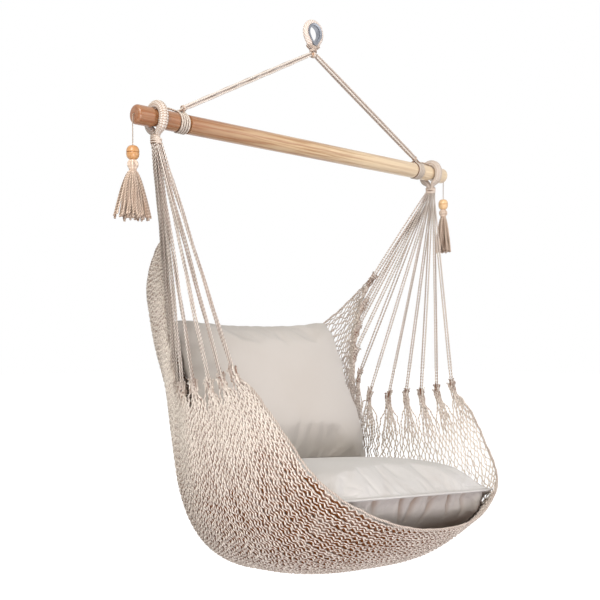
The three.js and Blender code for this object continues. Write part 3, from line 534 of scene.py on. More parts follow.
# %% Tubes and strands
def tube(points, radius, sides=6, face=None, tone=0.5):
    """One cord: vertices, quads, two end caps, a map of turn and metres, and tones."""
    points = np.asarray(points, float)
    tangents = unit(np.gradient(points, axis=0))
    if face is None:
        outward = carried_directions(tangents)
    else:
        outward = np.broadcast_to(np.asarray(face, float), points.shape)
        outward = unit(outward - tangents * (outward * tangents).sum(axis=1, keepdims=True))
    across = np.cross(tangents, outward)
    turns = np.arange(sides) / sides
    angle = turns * 2 * math.pi
    radii = np.asarray(radius, float)
    radii = np.broadcast_to(radii if radii.ndim == 2 else radii.reshape(-1, 1), (len(points), sides))
    ring = outward[:, None] * np.cos(angle)[None, :, None] + across[:, None] * np.sin(angle)[None, :, None]
    corners = (points[:, None] + ring * radii[..., None]).reshape(-1, 3)
    length = walked(points)
    step, side = np.divmod(np.arange((len(points) - 1) * sides), sides)
    quad = ((step, side), (step, side + 1), (step + 1, side + 1), (step + 1, side))
    quads = np.stack([s * sides + t % sides for s, t in quad], axis=1)
    quad_map = np.stack([np.stack([t / sides, length[s]], axis=1) for s, t in quad], axis=1)
    caps = [np.arange(sides)[::-1], (len(points) - 1) * sides + np.arange(sides)]
    cap_map = [np.stack([turn, np.full(sides, end)], axis=1)
               for turn, end in ((turns[::-1], 0), (turns, length[-1]))]
    return corners, quads, quad_map, caps, cap_map, tone


def cord_piece(name, tubes):
    """Joins tubes into one mesh object with the map lay and the attribute tone."""
    corners, faces, spots, tones = [], [], [], []
    count = 0
    for places, quads, quad_map, caps, cap_map, tone in tubes:
        corners.append(places)
        faces.extend((quads + count).tolist())
        spots.append(quad_map.reshape(-1, 2))
        for cap, cap_spots in zip(caps, cap_map):
            faces.append((cap + count).tolist())
            spots.append(cap_spots)
        tones.append(np.repeat(tone, len(places) // np.size(tone)))
        count += len(places)
    piece = new_piece(name, np.vstack(corners), [], faces)
    piece.data.uv_layers.new(name="lay").data.foreach_set("uv", np.vstack(spots).ravel())
    piece.data.attributes.new("tone", "FLOAT", "POINT").data.foreach_set("value", np.concatenate(tones))
    piece.data.shade_smooth()
    return piece


def laid_strands(points, strands, strand_radius, wind_radius, lay, sides=6, tone=0.5):
    """Tubes that wind round a run as the strands of a laid cord do, each facing away from its axis."""
    tangents = unit(np.gradient(points, axis=0))
    outward = carried_directions(tangents)
    across = np.cross(tangents, outward)
    for strand in range(strands):
        angle = (2 * math.pi * (walked(points) / lay + strand / strands))[:, None]
        away = outward * np.cos(angle) + across * np.sin(angle)
        yield tube(points + wind_radius * away, strand_radius, sides, away, tone)


luck = np.random.default_rng(7)
print("cord helpers ready")

# %% [markdown]
# ## The sling's surface
# The net hangs as one sheet between two side edges and a line down its middle. A section from side to
# side is a U that lies between a circle and a box, and the seat's hollow is the boxiest, because the
# cushion's corners press it out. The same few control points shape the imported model.

# %% Sling surface
BAR_Z = -0.279
TUFTS = 11
SLING_ROLL = math.radians(3.9)
EDGE_DRAW_FROM = 0.6
EDGE_DRAW_FADE = 0.22
SIDE_EDGE = [
    (0.342, -0.152, -0.510),
    (0.330, -0.056, -0.540),
    (0.328, 0.038, -0.548),
    (0.306, 0.086, -0.560),
    (0.293, 0.124, -0.512),
    (0.293, 0.144, -0.420),
    (0.318, 0.118, -0.272),
    (0.328, 0.102, -0.218),
]
MIDDLE_PROFILE = [
    (0, -0.366, -0.801),
    (0, -0.199, -0.901),
    (0, -0.013, -0.938),
    (0, 0.128, -0.934),
    (0, 0.170, -0.840),
    (0, 0.212, -0.690),
    (0, 0.288, -0.555),
    (0, 0.326, -0.458),
]


def free_half(v, half_columns):
    """The right half of the sheet, from its middle line to its side edge, with even steps in each row."""
    edge = along_curve(SIDE_EDGE, 0.74 * v + 0.26 * v * v)[:, None]
    middle = along_curve(MIDDLE_PROFILE, v)[:, None]
    boxiness = 3.7 - 1.3 * v - 1.4 * np.maximum(0, 1 - v / 0.3) ** 1.5
    power = (2 / boxiness)[:, None]
    swing = np.linspace(0, math.pi / 2, half_columns)[None]
    up = 1 - np.cos(swing).clip(0) ** power
    half = middle + (edge - middle) * up[..., None]
    half[..., 0] = edge[..., 0] * np.sin(swing) ** power
    for row in half:
        length = walked(row)
        row[:] = read_columns(np.linspace(0, 1, half_columns) * length[-1], length, row)
    return half


def draw_edge(half, v):
    """Pulls the front edge straight where it rises beside the seat, as a taut selvedge does."""
    reach = np.linspace(0, 1, half.shape[1])
    front = half[0].copy()
    start = read_columns([EDGE_DRAW_FROM], reach, front)
    along = ((reach - EDGE_DRAW_FROM) / (1 - EDGE_DRAW_FROM)).clip(0)[:, None]
    pull = np.where(along > 0, start + (front[-1] - start) * along - front, 0)
    half += pull[None] * (1 - smooth_step(0, EDGE_DRAW_FADE, v))[:, None, None]


def press_corners(whole):
    """Pushes the net out a little where the front corners of the seat cushion press into it."""
    for side in (-1, 1):
        away = whole - (side * 0.262, -0.300, -1.034 - side * 0.018)
        near = np.exp(-(np.linalg.norm(away, axis=-1, keepdims=True) / 0.055) ** 2)
        whole += near * 0.010 * np.array([side * 0.85, -0.5, -0.15])


def sling_sheet(rows=221, half_columns=161):
    v = np.linspace(0, 1, rows)
    half = free_half(v, half_columns)
    draw_edge(half, v)
    left = half[:, :0:-1] * (-1, 1, 1)
    whole = np.concatenate([left, half], axis=1)
    whole[..., 2] += BAR_Z - math.tan(SLING_ROLL) * whole[..., 0]
    press_corners(whole)
    return whole


sheet = sling_sheet()
sheet_back = unit(np.gradient(sheet, axis=0))
sheet_normal = unit(np.cross(np.gradient(sheet, axis=1), sheet_back))
print("the sling's sheet has", sheet.shape[0], "rows and", sheet.shape[1], "columns")


def read_sheet(table, u, v):
    """Reads a table of the sheet at u across, -1 to 1, and v from front to top, 0 to 1."""
    rows, columns = table.shape[:2]
    i = np.clip(np.asarray(v) * (rows - 1), 0, rows - 1.001)
    j = np.clip((np.asarray(u) + 1) / 2 * (columns - 1), 0, columns - 1.001)
    i0, j0 = i.astype(int), j.astype(int)
    fi, fj = (i - i0)[..., None], (j - j0)[..., None]
    near = table[i0, j0] * (1 - fj) + table[i0, j0 + 1] * fj
    far = table[i0 + 1, j0] * (1 - fj) + table[i0 + 1, j0 + 1] * fj
    return near * (1 - fi) + far * fi


# %% [markdown]
# ## The net
# Each cord of the net is two yarns twisted together. It runs from side to side and swings, so that it
# meets the cord in front of it and the cord behind it in turn. On the walls the meshes stay all but
# shut, and at the right they open into diamonds that let light through. In the pan under the seat
# neighbours swing together, as loose rows. Where the net is tight, a flat brown strip of painted shade
# fills the gap from each cord to the next, standing for the dark between the cords. At each side eleven
# cords at a time gather into a tuft, and the outer two take the shortest way to it.

# %% Net measures
CORDS_PER_TUFT = 11
NET_BANDS = 8
HALF_GIRTH = 0.58
NET_STEP = 0.0026
SHADE_STRIP_STEP = 0.0035
LEFT_CELL = 0.016
RIGHT_CELL = 0.027
PAN_CELL = 0.0165
TWIST_LAY = 0.0155
YARN_RADIUS = 0.00145
SHADE_STRIP_THICKNESS = 0.0007
LEFT_GATHER = 0.065
RIGHT_GATHER = 0.125
TUFT_RADIUS = 0.0080
SHADE_STRIP_FROM = -0.965
SHADE_STRIP_TO = 0.46
net_count = TUFTS * CORDS_PER_TUFT
row_pitch = 1 / net_count
net_u = np.linspace(-1, 1, round(2 * HALF_GIRTH / NET_STEP) + 1)
shade_strip_u = np.linspace(SHADE_STRIP_FROM, SHADE_STRIP_TO, round((SHADE_STRIP_TO - SHADE_STRIP_FROM) * HALF_GIRTH / SHADE_STRIP_STEP))
# How far the net is open, at the right, and how far it is shut, in the middle.
opened = smooth_step(0.35, 0.62, net_u) * (1 - 0.85 * smooth_step(0.72, 0.88, net_u))
shut = smooth_step(-0.85, -0.5, net_u) * (1 - opened)


def tuft_v(tuft):
    return (2 * tuft + 1) / (2 * TUFTS)


def fan_start(side, tuft):
    row = -1 if tuft % 2 == 0 else 1
    return np.array([side * (0.425 + row * 0.00295), (tuft - 5) * 0.00185, BAR_Z - 0.0545])


def fan_direction(side, tuft):
    tip = read_sheet(sheet, np.array(float(side)), np.array(tuft_v(tuft)))
    return tip, unit(fan_start(side, tuft) - tip)


def spread_share(across, haste=1.0):
    """How far the cords of a tuft have parted: 0 in the tuft, 1 in the net."""
    gather = np.where(across < 0, LEFT_GATHER, RIGHT_GATHER)
    start = np.where(across < 0, 0.008, 0.024)
    straight = haste * (1 - np.abs(across) - start).clip(0) / gather
    return straight / (1 + straight**5) ** 0.2


def slackness(across, v):
    """1 in the pan under the seat, where the cords lie loose, and 0 on the walls and up the back.

    The pan reaches farther to the left than to the right.
    """
    reach = np.where(across < 0, np.abs(across) - 0.16, across)
    return (1 - smooth_step(0.32, 0.6, reach)) * (1 - smooth_step(0.42, 0.6, v))


# %% Way of a net cord
def swing_phase(cord, v_own, slack):
    """How far a cord's swing has come at each step, in radians. Neighbours meet where it differs by pi."""
    cell = np.where(net_u < 0, LEFT_CELL, RIGHT_CELL) * (1 - slack) + PAN_CELL * slack
    drift = 0.9 * np.sin(4.3 * net_u + 7 * v_own) + 0.6 * np.sin(9.1 * net_u - 31 * v_own)
    drift += 0.5 * np.sin(23 * net_u + 47 * v_own)
    drift += 1.2 * (1 - opened) * np.sin(2.4 * (cord // 2) + 6 * net_u)
    return np.cumsum(2 * math.pi * NET_STEP / cell) + drift + math.pi * (cord % 2) * (1 - slack)


def net_yarns(cord):
    """The two twisted yarns of one net cord, and the strip of painted shade between it and the next cord."""
    tuft, place = divmod(cord, CORDS_PER_TUFT)
    v_own = (cord + 0.5) * row_pitch
    slack = slackness(net_u, v_own)
    haste = (1.8 if place in (0, CORDS_PER_TUFT - 1) else 1.0) * (1.6 if tuft >= TUFTS // 2 else 1.0)
    spread = spread_share(net_u, haste)
    phase = swing_phase(cord, v_own, slack)
    swell = 1 + 0.3 * np.sin(29 * net_u + 1.3 * cord)
    wander = 0.5 * np.sin(17 * net_u + 2.1 * cord) + 0.5 * np.sin(37 * net_u + 0.7 * cord * cord)
    shift = (0.2 + 0.26 * opened + 0.06 * slack) * swell * np.cos(phase) * (0.2 + 0.8 * spread)
    shift += (0.2 + 0.4 * opened) * wander * spread
    v = tuft_v(tuft) + (v_own - tuft_v(tuft)) * spread + row_pitch * shift
    places, normal, back = (read_sheet(table, net_u, v) for table in (sheet, sheet_normal, sheet_back))
    bundle = TUFT_RADIUS * math.sqrt((place + 0.5) / CORDS_PER_TUFT)
    ends = (back[[0, -1]] * math.cos(2.4 * place) + normal[[0, -1]] * math.sin(2.4 * place)) * bundle
    gathered = np.where(net_u[:, None] < 0, ends[0], ends[1]) * (1 - spread)[:, None]
    core = places + gathered + normal * (0.0013 * np.sin(phase + wander) - 0.0006 * slack)[:, None]
    radius = YARN_RADIUS - 0.00045 * opened - 0.00015 * shut
    twist = radius * 0.85 * (1 - 0.2 * slack)
    for yarn in range(2):
        angle = 2 * math.pi * (net_u * HALF_GIRTH / TWIST_LAY + yarn / 2) + 1.7 * cord
        run = core + normal * (twist * np.sin(angle))[:, None] + back * (twist * np.cos(angle))[:, None]
        # Painted shade: a yarn darkens where its twist brings it level with its twin, more where the net is
        # shut. The next lines darken the open band towards its top, and a few yarns near the tufts at random.
        tone = 0.15 * luck.random() + (0.3 + 0.35 * shut - 0.15 * opened) * np.cos(angle) ** 4
        tone += 0.25 * opened * smooth_step(0.45, 0.6, v_own)
        tone += 0.45 * luck.random() ** 2 * smooth_step(0.945, 0.985, np.abs(net_u))
        yield with_ends(run, normal, radius, tone, tuft, ends)
    yield shade_strip(cord, v, gathered)


def shade_strip(cord, v, gathered):
    """A flat brown strip of painted shade between a cord and the next. It widens with the gap that it fills.
    """
    reach = np.interp(shade_strip_u, net_u, v) + 0.5 * row_pitch
    near, far = (read_sheet(sheet, shade_strip_u, reach + row_pitch * half) for half in (-0.5, 0.5))
    middle = (near + far) / 2 + read_columns(shade_strip_u, net_u, gathered)
    width = 0.55 * np.linalg.norm(far - near, axis=1) * (0.9 + 0.1 * np.sin(240 * shade_strip_u + 2.4 * cord))
    thick = np.full_like(width, SHADE_STRIP_THICKNESS)
    radii = np.stack([thick, width, thick, width], axis=1)
    # Painted shade: the strip is dark, and darker still where the net is shut.
    tone = 0.65 + 0.35 * np.interp(shade_strip_u, net_u, shut)
    return tube(middle, radii, 4, read_sheet(sheet_normal, shade_strip_u, reach), tone)


# %% Net cords
HOOK_POINTS = 4


def with_ends(run, normal, radius, tone, tuft, ends):
    """One yarn with a hook at each end, where it turns round the fan's cords."""
    hooks = []
    for end, side in ((0, -1), (-1, 1)):
        direction = fan_direction(side, tuft)[1]
        away = unit(ends[end])
        rise = 0.004 + 0.013 * luck.random()
        bends = ((rise * 0.5, 0), (rise, 0.0006), (rise + 0.0018, 0.0022), (rise - 0.0012, 0.0038))
        hooks.append(np.array([run[end] + direction * up + away * out for up, out in bends]))
    run = np.vstack([hooks[0][::-1], run, hooks[1]])
    held = np.pad(np.arange(len(net_u)), HOOK_POINTS, mode="edge")
    return tube(run, radius[held], 4, normal[held], tone[held])


for band in range(NET_BANDS):
    cords = range(band * net_count // NET_BANDS, (band + 1) * net_count // NET_BANDS)
    piece = cord_piece(f"net_band_{band + 1}", [yarn for cord in cords for yarn in net_yarns(cord)])
    seat(piece, "sling", net_finish, ["sling_net"])

# %% [markdown]
# ## Selvedges
# A laid cord of three strands bounds the net at the front and at the top. It is made of real strands,
# because the front one lies right under the eye, along the edge of the seat.

# %% Selvedges
SELVEDGE_STRAND = 0.0015
SELVEDGE_LAY = 0.021
SELVEDGE_OUT = 0.003


def selvedge_run(v_edge, tuft):
    across = np.linspace(-1, 1, 301)
    spread = spread_share(across)
    v = tuft_v(tuft) + (v_edge - tuft_v(tuft)) * spread
    away = read_sheet(sheet_back, across, v) * (-1 if v_edge == 0 else 1)
    wander = 0.0008 * np.sin(61 * across) + 0.0006 * np.sin(127 * across)
    return read_sheet(sheet, across, v) + away * ((SELVEDGE_OUT + wander) * spread)[:, None]


for name, v_edge, tuft in (("front", 0.0, 0), ("top", 1.0, TUFTS - 1)):
    run = selvedge_run(v_edge, tuft)
    strands = laid_strands(run, 3, SELVEDGE_STRAND, SELVEDGE_STRAND, SELVEDGE_LAY, tone=0.4)
    rope = cord_piece(f"{name}_selvedge_rope", strands)
    seat(rope, "sling", net_finish, [f"{name}_selvedge"])

# %% [markdown]
# ## Fans
# From each tuft cords rise to the neck under the bar: three at the left, wound loosely round each
# other, and two at the right, side by side. Turns of cord thrown over the tuft, each tilted its own
# way, make the knobby head where they take hold.

# %% Fans
FAN_YARN = 0.0013
FAN_LAY = 0.0150
FAN_STRAND_GAP = 0.0045
FAN_BUNDLE = 0.0026
FAN_WIND = 0.0011
HEAD_CORD = 0.0012
HEAD_TURNS = ((0.001, 0.0056), (0.0055, 0.0058), (0.0105, 0.0052))


def head_turn(foot, direction, sideways, deep, height, radius):
    """One turn of cord round a tuft, tilted and not quite closed."""
    angle = np.linspace(0, 2.3 * math.pi, 18)[:, None] + 6.3 * luck.random()
    lean = 0.0060 * (luck.random() - 0.5)
    climb = 0.0016 * np.linspace(0, 1, 18)[:, None]
    out = radius * (sideways * np.cos(angle) + deep * 0.85 * np.sin(angle))
    run = direction * (lean * np.cos(angle + 6.3 * luck.random()) + climb) + out
    return tube(foot + direction * height + run, HEAD_CORD, 6, face=run, tone=0.4 + 1.4 * luck.random())


def fan_tubes(side, tuft):
    tip, direction = fan_direction(side, tuft)
    sideways = unit(np.cross(direction, (0, 1, 0)))
    deep = np.cross(direction, sideways)
    share = np.linspace(0, 1, 200)
    lean = -0.75 + 0.5 * luck.uniform(-1, 1)
    apart = sideways * math.cos(lean) + deep * math.sin(lean)
    foot = tip + direction * 0.002
    rise = fan_start(side, tuft) + (0, 0, 0.006) - foot
    gap = FAN_STRAND_GAP / 2 + (0.0004 + 0.0011 * luck.random()) * np.sin(math.pi * share) ** 0.6
    for strand in range(3 if side < 0 else 2):
        turn = 2 * math.pi * (strand / 3 + share) + tuft
        bundle = sideways * np.cos(turn)[:, None] + deep * np.sin(turn)[:, None]
        offset = FAN_BUNDLE * bundle if side < 0 else apart * ((2 * strand - 1) * gap)[:, None]
        sag = (luck.random() - 0.5) * 0.003 * np.sin(math.pi * share)
        run = foot + rise * share[:, None] + offset + deep * sag[:, None]
        yield from laid_strands(run, 2, FAN_YARN, FAN_WIND, FAN_LAY, 5, luck.random() ** 2)
    for height, radius in HEAD_TURNS:
        yield head_turn(tip, direction, sideways, deep, height, radius)


for side, word in SIDES:
    tubes = [one for tuft in range(TUFTS) for one in fan_tubes(side, tuft)]
    nodes = [f"fan_cords_{word}_{tuft + 1:02d}" for tuft in range(TUFTS)]
    seat(cord_piece(f"fan_{word}", tubes), "sling", fan_finish, nodes)

# %% [markdown]
# ## Side eyes and necks
# A covered rope loop sits in the bar's cove at each end. Its cover is worked in small V-shaped
# stitches, which here push the tube's own surface in and out. Below the bar both limbs of the loop are
# drawn together and whipped, and the fan leaves from under that whipping.

# %% Side eyes
EYE_X = 0.425
BAR_RADIUS = 0.019
COVE_DEPTH = 0.003
GAP = 0.0003
SIDE_ROPE_RADIUS = 0.0095
STITCH_RELIEF = 0.0009
COVER_SIDES = 32
NECK_SPAN = 0.00535
NECK_LIMB = 0.0052
NECK_CORD = 0.0017
NECK_TURNS = 5.3
NECK_TOP = 0.036
NECK_HEIGHT = 0.013


def eye_stations():
    """Places and radii along a side eye, from the foot of one limb to the foot of the other."""
    loop = BAR_RADIUS - COVE_DEPTH + GAP + SIDE_ROPE_RADIUS
    limb = [(NECK_SPAN, -0.051, NECK_LIMB), (NECK_SPAN, -0.034, NECK_LIMB)]
    limb += [(0.0092, -0.026, 0.0074), (0.0208, -0.0172, 0.0088)]
    arc = [(loop * math.cos(angle), loop * math.sin(angle), SIDE_ROPE_RADIUS)
           for angle in np.linspace(-0.3, math.pi + 0.3, 15)]
    return limb + arc + [(-y, z, radius) for y, z, radius in reversed(limb)]


def stitched(radius, length, sides):
    """A tube's radii with V-shaped stitches pressed into them."""
    column = np.arange(sides)[None] / sides * STITCH_COLUMNS
    lean = np.abs(column % 1 - 0.5) * STITCH_LEAN
    ridge = np.abs(np.sin(math.pi * (length[:, None] / STITCH_LENGTH + lean)))
    seam = np.abs(np.sin(math.pi * column)) ** 0.4
    return radius[:, None] - STITCH_RELIEF * (1 - ridge * seam)


for side, word in SIDES:
    stations = [(side * EYE_X, y, BAR_Z + z, radius) for y, z, radius in eye_stations()]
    run = along_curve(stations, np.linspace(0, 1, 190))
    radii = stitched(run[:, 3], walked(run), COVER_SIDES)
    cover = tube(run[:, :3], radii, COVER_SIDES, face=(side, 0, 0), tone=0.4)
    eye = cord_piece(f"covered_eye_{word}", [cover])
    seat(eye, "sling", cover_finish, [f"side_eye_{word}"])


# %% Neck whippings
def stadium(share, half_span, radius):
    """The outline round two limbs that lie side by side, walked by its length."""
    straight, bend = 2 * half_span, math.pi * radius
    along = (share % 1) * 2 * (straight + bend)
    flip = np.where(along >= straight + bend, -1, 1)
    along = np.where(flip < 0, along - straight - bend, along)
    angle = np.maximum(along - straight, 0) / radius
    on_straight = along < straight
    x = np.where(on_straight, radius, radius * np.cos(angle))
    y = np.where(on_straight, along - half_span, half_span + radius * np.sin(angle))
    return flip * x, flip * y


for side, word in SIDES:
    turn = np.linspace(0, NECK_TURNS, 220)
    x, y = stadium(turn, NECK_SPAN, NECK_LIMB + NECK_CORD)
    tilt = 0.0016 + 0.0032 * np.abs(np.sin(1.9 * turn))
    z = BAR_Z - NECK_TOP - NECK_HEIGHT * turn / NECK_TURNS + tilt * np.sin(2 * math.pi * turn + 0.6)
    outward = np.stack([side * x, y, 0 * z], axis=1)
    run = np.stack([side * (EYE_X + x), y, z], axis=1)
    whipping = cord_piece(f"neck_whipping_cord_{word}", [tube(run, NECK_CORD, 10, outward, 0.3)])
    seat(whipping, "sling", whipping_finish, [f"neck_whipping_{word}"])

# %% [markdown]
# ## The spreader bar
# The bar is a turned dowel. It starts as a cylinder; planes cut loops into it where the cove and the
# groove begin and end, the loops between them are scaled in, the tips are bevelled round, and a small
# hole is sunk into each end for the tassel's twine.

# %% Spreader bar
BAR_LENGTH = 0.950
TIP_ROUNDING = 0.006
TWINE_HOLE = 0.002
HOLE_DEPTH = 0.02
HITCH_X = 0.366
GROOVE_DEPTH = 0.0035
COVE_LOOPS = [EYE_X + off for off in (-0.0135, -0.0105, 0.0105, 0.0135)]
GROOVE_LOOPS = [HITCH_X + off for off in (-0.0142, -0.0136, 0.0136, 0.0142)]


def sink_loops(piece, loops, slack, depth):
    """Scales the inner two of four loops, at both ends of the bar, towards its axis."""
    select_where(piece, "vertices", lambda vertex: loops[1] - slack < abs(vertex.co.x) < loops[2] + slack)
    share = 1 - depth / BAR_RADIUS
    bpy.ops.transform.resize(value=(1, share, share), center_override=(0, 0, 0))


deselect()
across_x = (0, math.pi / 2, 0)
bpy.ops.mesh.primitive_cylinder_add(vertices=64, radius=BAR_RADIUS, depth=BAR_LENGTH, rotation=across_x)
bar = bpy.context.object
bar.name = "turned_bar"
bake_place(bar)
open_mesh()
for x in COVE_LOOPS + GROOVE_LOOPS:
    for place in (x, -x):
        bpy.ops.mesh.select_all(action="SELECT")
        bpy.ops.mesh.bisect(plane_co=(place, 0, 0), plane_no=(1, 0, 0))
sink_loops(bar, COVE_LOOPS, 0.001, COVE_DEPTH)
sink_loops(bar, GROOVE_LOOPS, 0.0003, GROOVE_DEPTH)
select_where(bar, "polygons", lambda face: abs(face.normal.x) > 0.9 and abs(face.center.x) > 0.47)
bpy.ops.mesh.inset(thickness=BAR_RADIUS - TWINE_HOLE, use_individual=True)
bpy.ops.mesh.extrude_region_shrink_fatten(TRANSFORM_OT_shrink_fatten={"value": -HOLE_DEPTH})
close_mesh()


# %% Round the bar's tips
def on_rim(edge, slack=1e-4):
    """Whether an edge lies on the rim of one of the bar's ends."""
    ends = [bar.data.vertices[i].co for i in edge.vertices]
    return all(abs(abs(co.x) - BAR_LENGTH / 2) < slack and abs(math.hypot(co.y, co.z) - BAR_RADIUS) < slack
               for co in ends)


open_mesh("DESELECT")
bpy.ops.mesh.select_mode(type="EDGE")
select_where(bar, "edges", on_rim)
bpy.ops.mesh.bevel(offset=TIP_ROUNDING, segments=6)
bpy.ops.mesh.select_mode(type="VERT")
bpy.ops.mesh.select_all(action="SELECT")
bpy.ops.transform.translate(value=(0, 0, BAR_Z))
close_mesh()
bpy.ops.object.shade_smooth_by_angle(angle=math.radians(32))
seat(bar, "suspension", bar_finish, ["spreader_bar"])

# %% [markdown]
# ## Legs, whippings, hitches and keepers
# Four cords lie in each leg, two by two. At its foot a whipping binds them. From there a cord passes
# nearly four times round the bar's groove as a hitch, and two more cords go down over the bar's top
# into its windings. A short keeper cord ties the hitch to the side eye, so that neither can slide.

# %% Legs
LEG_RADIUS = 0.0026
LEG_PITCH = 0.0056
LEG_RIPPLE = 0.00035
THROAT_Z = -0.064
leg_end = np.array([HITCH_X - 0.003, 0, BAR_Z + BAR_RADIUS + 0.010])
leg_slope = math.atan2(THROAT_Z - leg_end[2], leg_end[0])
leg_start = np.array([0.0053 + (LEG_RADIUS + LEG_PITCH / 2) * math.sin(leg_slope), 0, THROAT_Z])
leg_along = unit(leg_end - leg_start)
leg_over = np.array([-leg_along[2], 0, leg_along[0]])


def leg_tube(side, side_y, side_over, number):
    share = np.linspace(0, 1, 60)
    spread = np.interp(share, (0, 0.2, 0.6, 0.93, 1), (0.8, 1.06, 1.06, 1.0, 0.72)) * LEG_PITCH / 2
    ripple = LEG_RIPPLE * np.sin(share * 41 + number * 1.7) * np.sin(math.pi * share)
    run = leg_start + (leg_end - leg_start) * share[:, None]
    run = run + leg_over * (side_over * spread + ripple)[:, None]
    run[:, 1] += side_y * spread + ripple
    outward = (leg_over * side_over + (0, side_y, 0)) * (side, 1, 1)
    radius = LEG_RADIUS * np.interp(share, (0, 0.03, 0.95, 1), (0.85, 1, 1, 0.85))
    return tube(run * (side, 1, 1), radius, 10, outward, luck.random())


for side, word in SIDES:
    for number, (side_y, side_over) in enumerate(((-1, 1), (-1, -1), (1, 1), (1, -1)), start=1):
        leg = cord_piece(f"leg_{word}_{number}", [leg_tube(side, side_y, side_over, number)])
        seat(leg, "suspension", leg_finish, [f"leg_cord_{word}_{number}"])

# %% Whippings and hitches
HITCH_RADIUS = BAR_RADIUS - GROOVE_DEPTH + 0.0004 + LEG_RADIUS
HITCH_TURNS = 4
SHORT_LEADS = ((-0.0056, -1), (0.0050, 1))
WHIPPING_CORD = 0.0011
WHIPPING_TURNS = 2.3
WHIPPING_PITCH = 0.0023
KEEPER_LENGTH = 0.0425
KEEPER_BOW = 0.0022
KEEPER_YARN = 0.0013
KEEPER_LAY = 0.010


def whipping_tube(side):
    """Two turns drawn tight round the foot of a leg."""
    turn = np.linspace(0, WHIPPING_TURNS, 60)[:, None]
    radius = 0.72 * LEG_PITCH / 2 * math.sqrt(2) + LEG_RADIUS + 0.0002
    outward = leg_over * np.cos(2 * math.pi * turn) + np.array([0, 1, 0]) * np.sin(2 * math.pi * turn)
    run = leg_end + leg_along * (-0.0010 - WHIPPING_PITCH * (WHIPPING_TURNS - turn)) + radius * outward
    return tube(run * (side, 1, 1), WHIPPING_CORD, 8, outward * (side, 1, 1), 0.2)


def hitch_lead(x, side_y):
    """From the bar's top at x up to the foot of the leg."""
    foot = leg_end + leg_along * 0.001
    y = side_y * LEG_PITCH / 2
    top = BAR_Z + HITCH_RADIUS
    return [(x, y * 1.15, top + 0.0030), ((x + foot[0]) / 2, y, top + 0.0050), (foot[0], y * 0.8, foot[2]),
            tuple((leg_end - leg_along * 0.004) * (1, 0, 1) + (0, y * 0.6, 0))]


def hitch_run(side):
    """Round the bar's groove nearly four times, with both ends led up to the leg."""
    leave = math.acos(1 / 1.62)
    turns = HITCH_TURNS - leave / math.pi
    half_span = turns * LEG_PITCH / 2
    turn = np.linspace(0, turns, 150)
    angle = leave + 2 * math.pi * turn
    x = HITCH_X - half_span + LEG_PITCH * turn
    wound = np.stack([x, HITCH_RADIUS * np.sin(angle), BAR_Z + HITCH_RADIUS * np.cos(angle)], axis=1)
    first, last = hitch_lead(HITCH_X - half_span, 1), hitch_lead(HITCH_X + half_span, -1)
    knots = np.vstack([first[::-1], wound[::6], wound[-1:], last])
    return along_curve(knots, np.linspace(0, 1, 240)) * (side, 1, 1)


def short_lead(side, x, side_y):
    """A cord from the foot of the leg over the bar's top and down into the windings."""
    over = [(x, side_y * HITCH_RADIUS * math.sin(angle), BAR_Z + HITCH_RADIUS * math.cos(angle))
            for angle in (1.3, 0.9, 0.5)]
    return along_curve(over + hitch_lead(x, side_y), np.linspace(0, 1, 60)) * (side, 1, 1)


def keeper_run(side):
    share = np.linspace(0, 1, 40)[:, None]
    bow = np.array([0, 0, KEEPER_BOW]) * np.sin(math.pi * share)
    start = np.array([HITCH_X + 0.010, 0, BAR_Z + BAR_RADIUS + 0.0024])
    return (start + np.array([KEEPER_LENGTH, 0, 0]) * share + bow) * (side, 1, 1)


for side, word in SIDES:
    whipping = cord_piece(f"leg_whipping_cord_{word}", [whipping_tube(side)])
    seat(whipping, "suspension", whipping_finish, [f"leg_whipping_{word}"])
    runs = [hitch_run(side)] + [short_lead(side, HITCH_X + x, side_y) for x, side_y in SHORT_LEADS]
    tubes = [tube(run, LEG_RADIUS, 10, (run - (0, 0, BAR_Z)) * (0, 1, 1), 0.1) for run in runs]
    hitch = cord_piece(f"hitch_cord_{word}", tubes)
    seat(hitch, "suspension", hitch_finish, [f"hitch_winding_{word}"])
    strands = laid_strands(keeper_run(side), 2, KEEPER_YARN, FAN_WIND, KEEPER_LAY)
    keeper = cord_piece(f"keeper_strands_{word}", strands)
    seat(keeper, "suspension", twine_finish, [f"keeper_cord_{word}"])

# %% [markdown]
# ## The top eye
# The thimble is a grooved steel ring drawn to a point, and the rope lies in its groove. Its section is
# spun round two centres, a large one above and a small one below, with straight runs between them.

# %% Thimble
BIG_RADIUS = 0.015
SMALL_RADIUS = 0.004
CENTRE_DROP = 0.034
ROPE_RADIUS = 0.0065
THIMBLE_WALL = 0.0016
big_centre = np.array([0, 0, -BIG_RADIUS])
small_centre = np.array([0, 0, -CENTRE_DROP])
eye_lean = math.asin((BIG_RADIUS - SMALL_RADIUS) / (CENTRE_DROP - BIG_RADIUS))
eye_out = np.array([math.cos(eye_lean), 0, -math.sin(eye_lean)])


def thimble_section():
    """The groove's section as distance out from the opening and distance to one side."""
    groove = ROPE_RADIUS + GAP
    lip = groove + THIMBLE_WALL
    start = math.acos((lip - 0.005) / groove)
    round_part = [(lip - groove * math.cos(a), groove * math.sin(a)) for a in np.linspace(start, -start, 13)]
    inside = [(0.0007, -lip + 0.0014), (0, -lip + 0.003), (0, lip - 0.003), (0.0007, lip - 0.0014)]
    rim = [(0.0046, lip), (0.0056, lip - 0.0004), (0.0058, lip - 0.0011)]
    return inside + rim + round_part + [(out, -side) for out, side in reversed(rim)]


def spin_section(centre, angle, steps):
    bpy.ops.mesh.spin(steps=steps, angle=angle, center=centre, axis=(0, 1, 0))


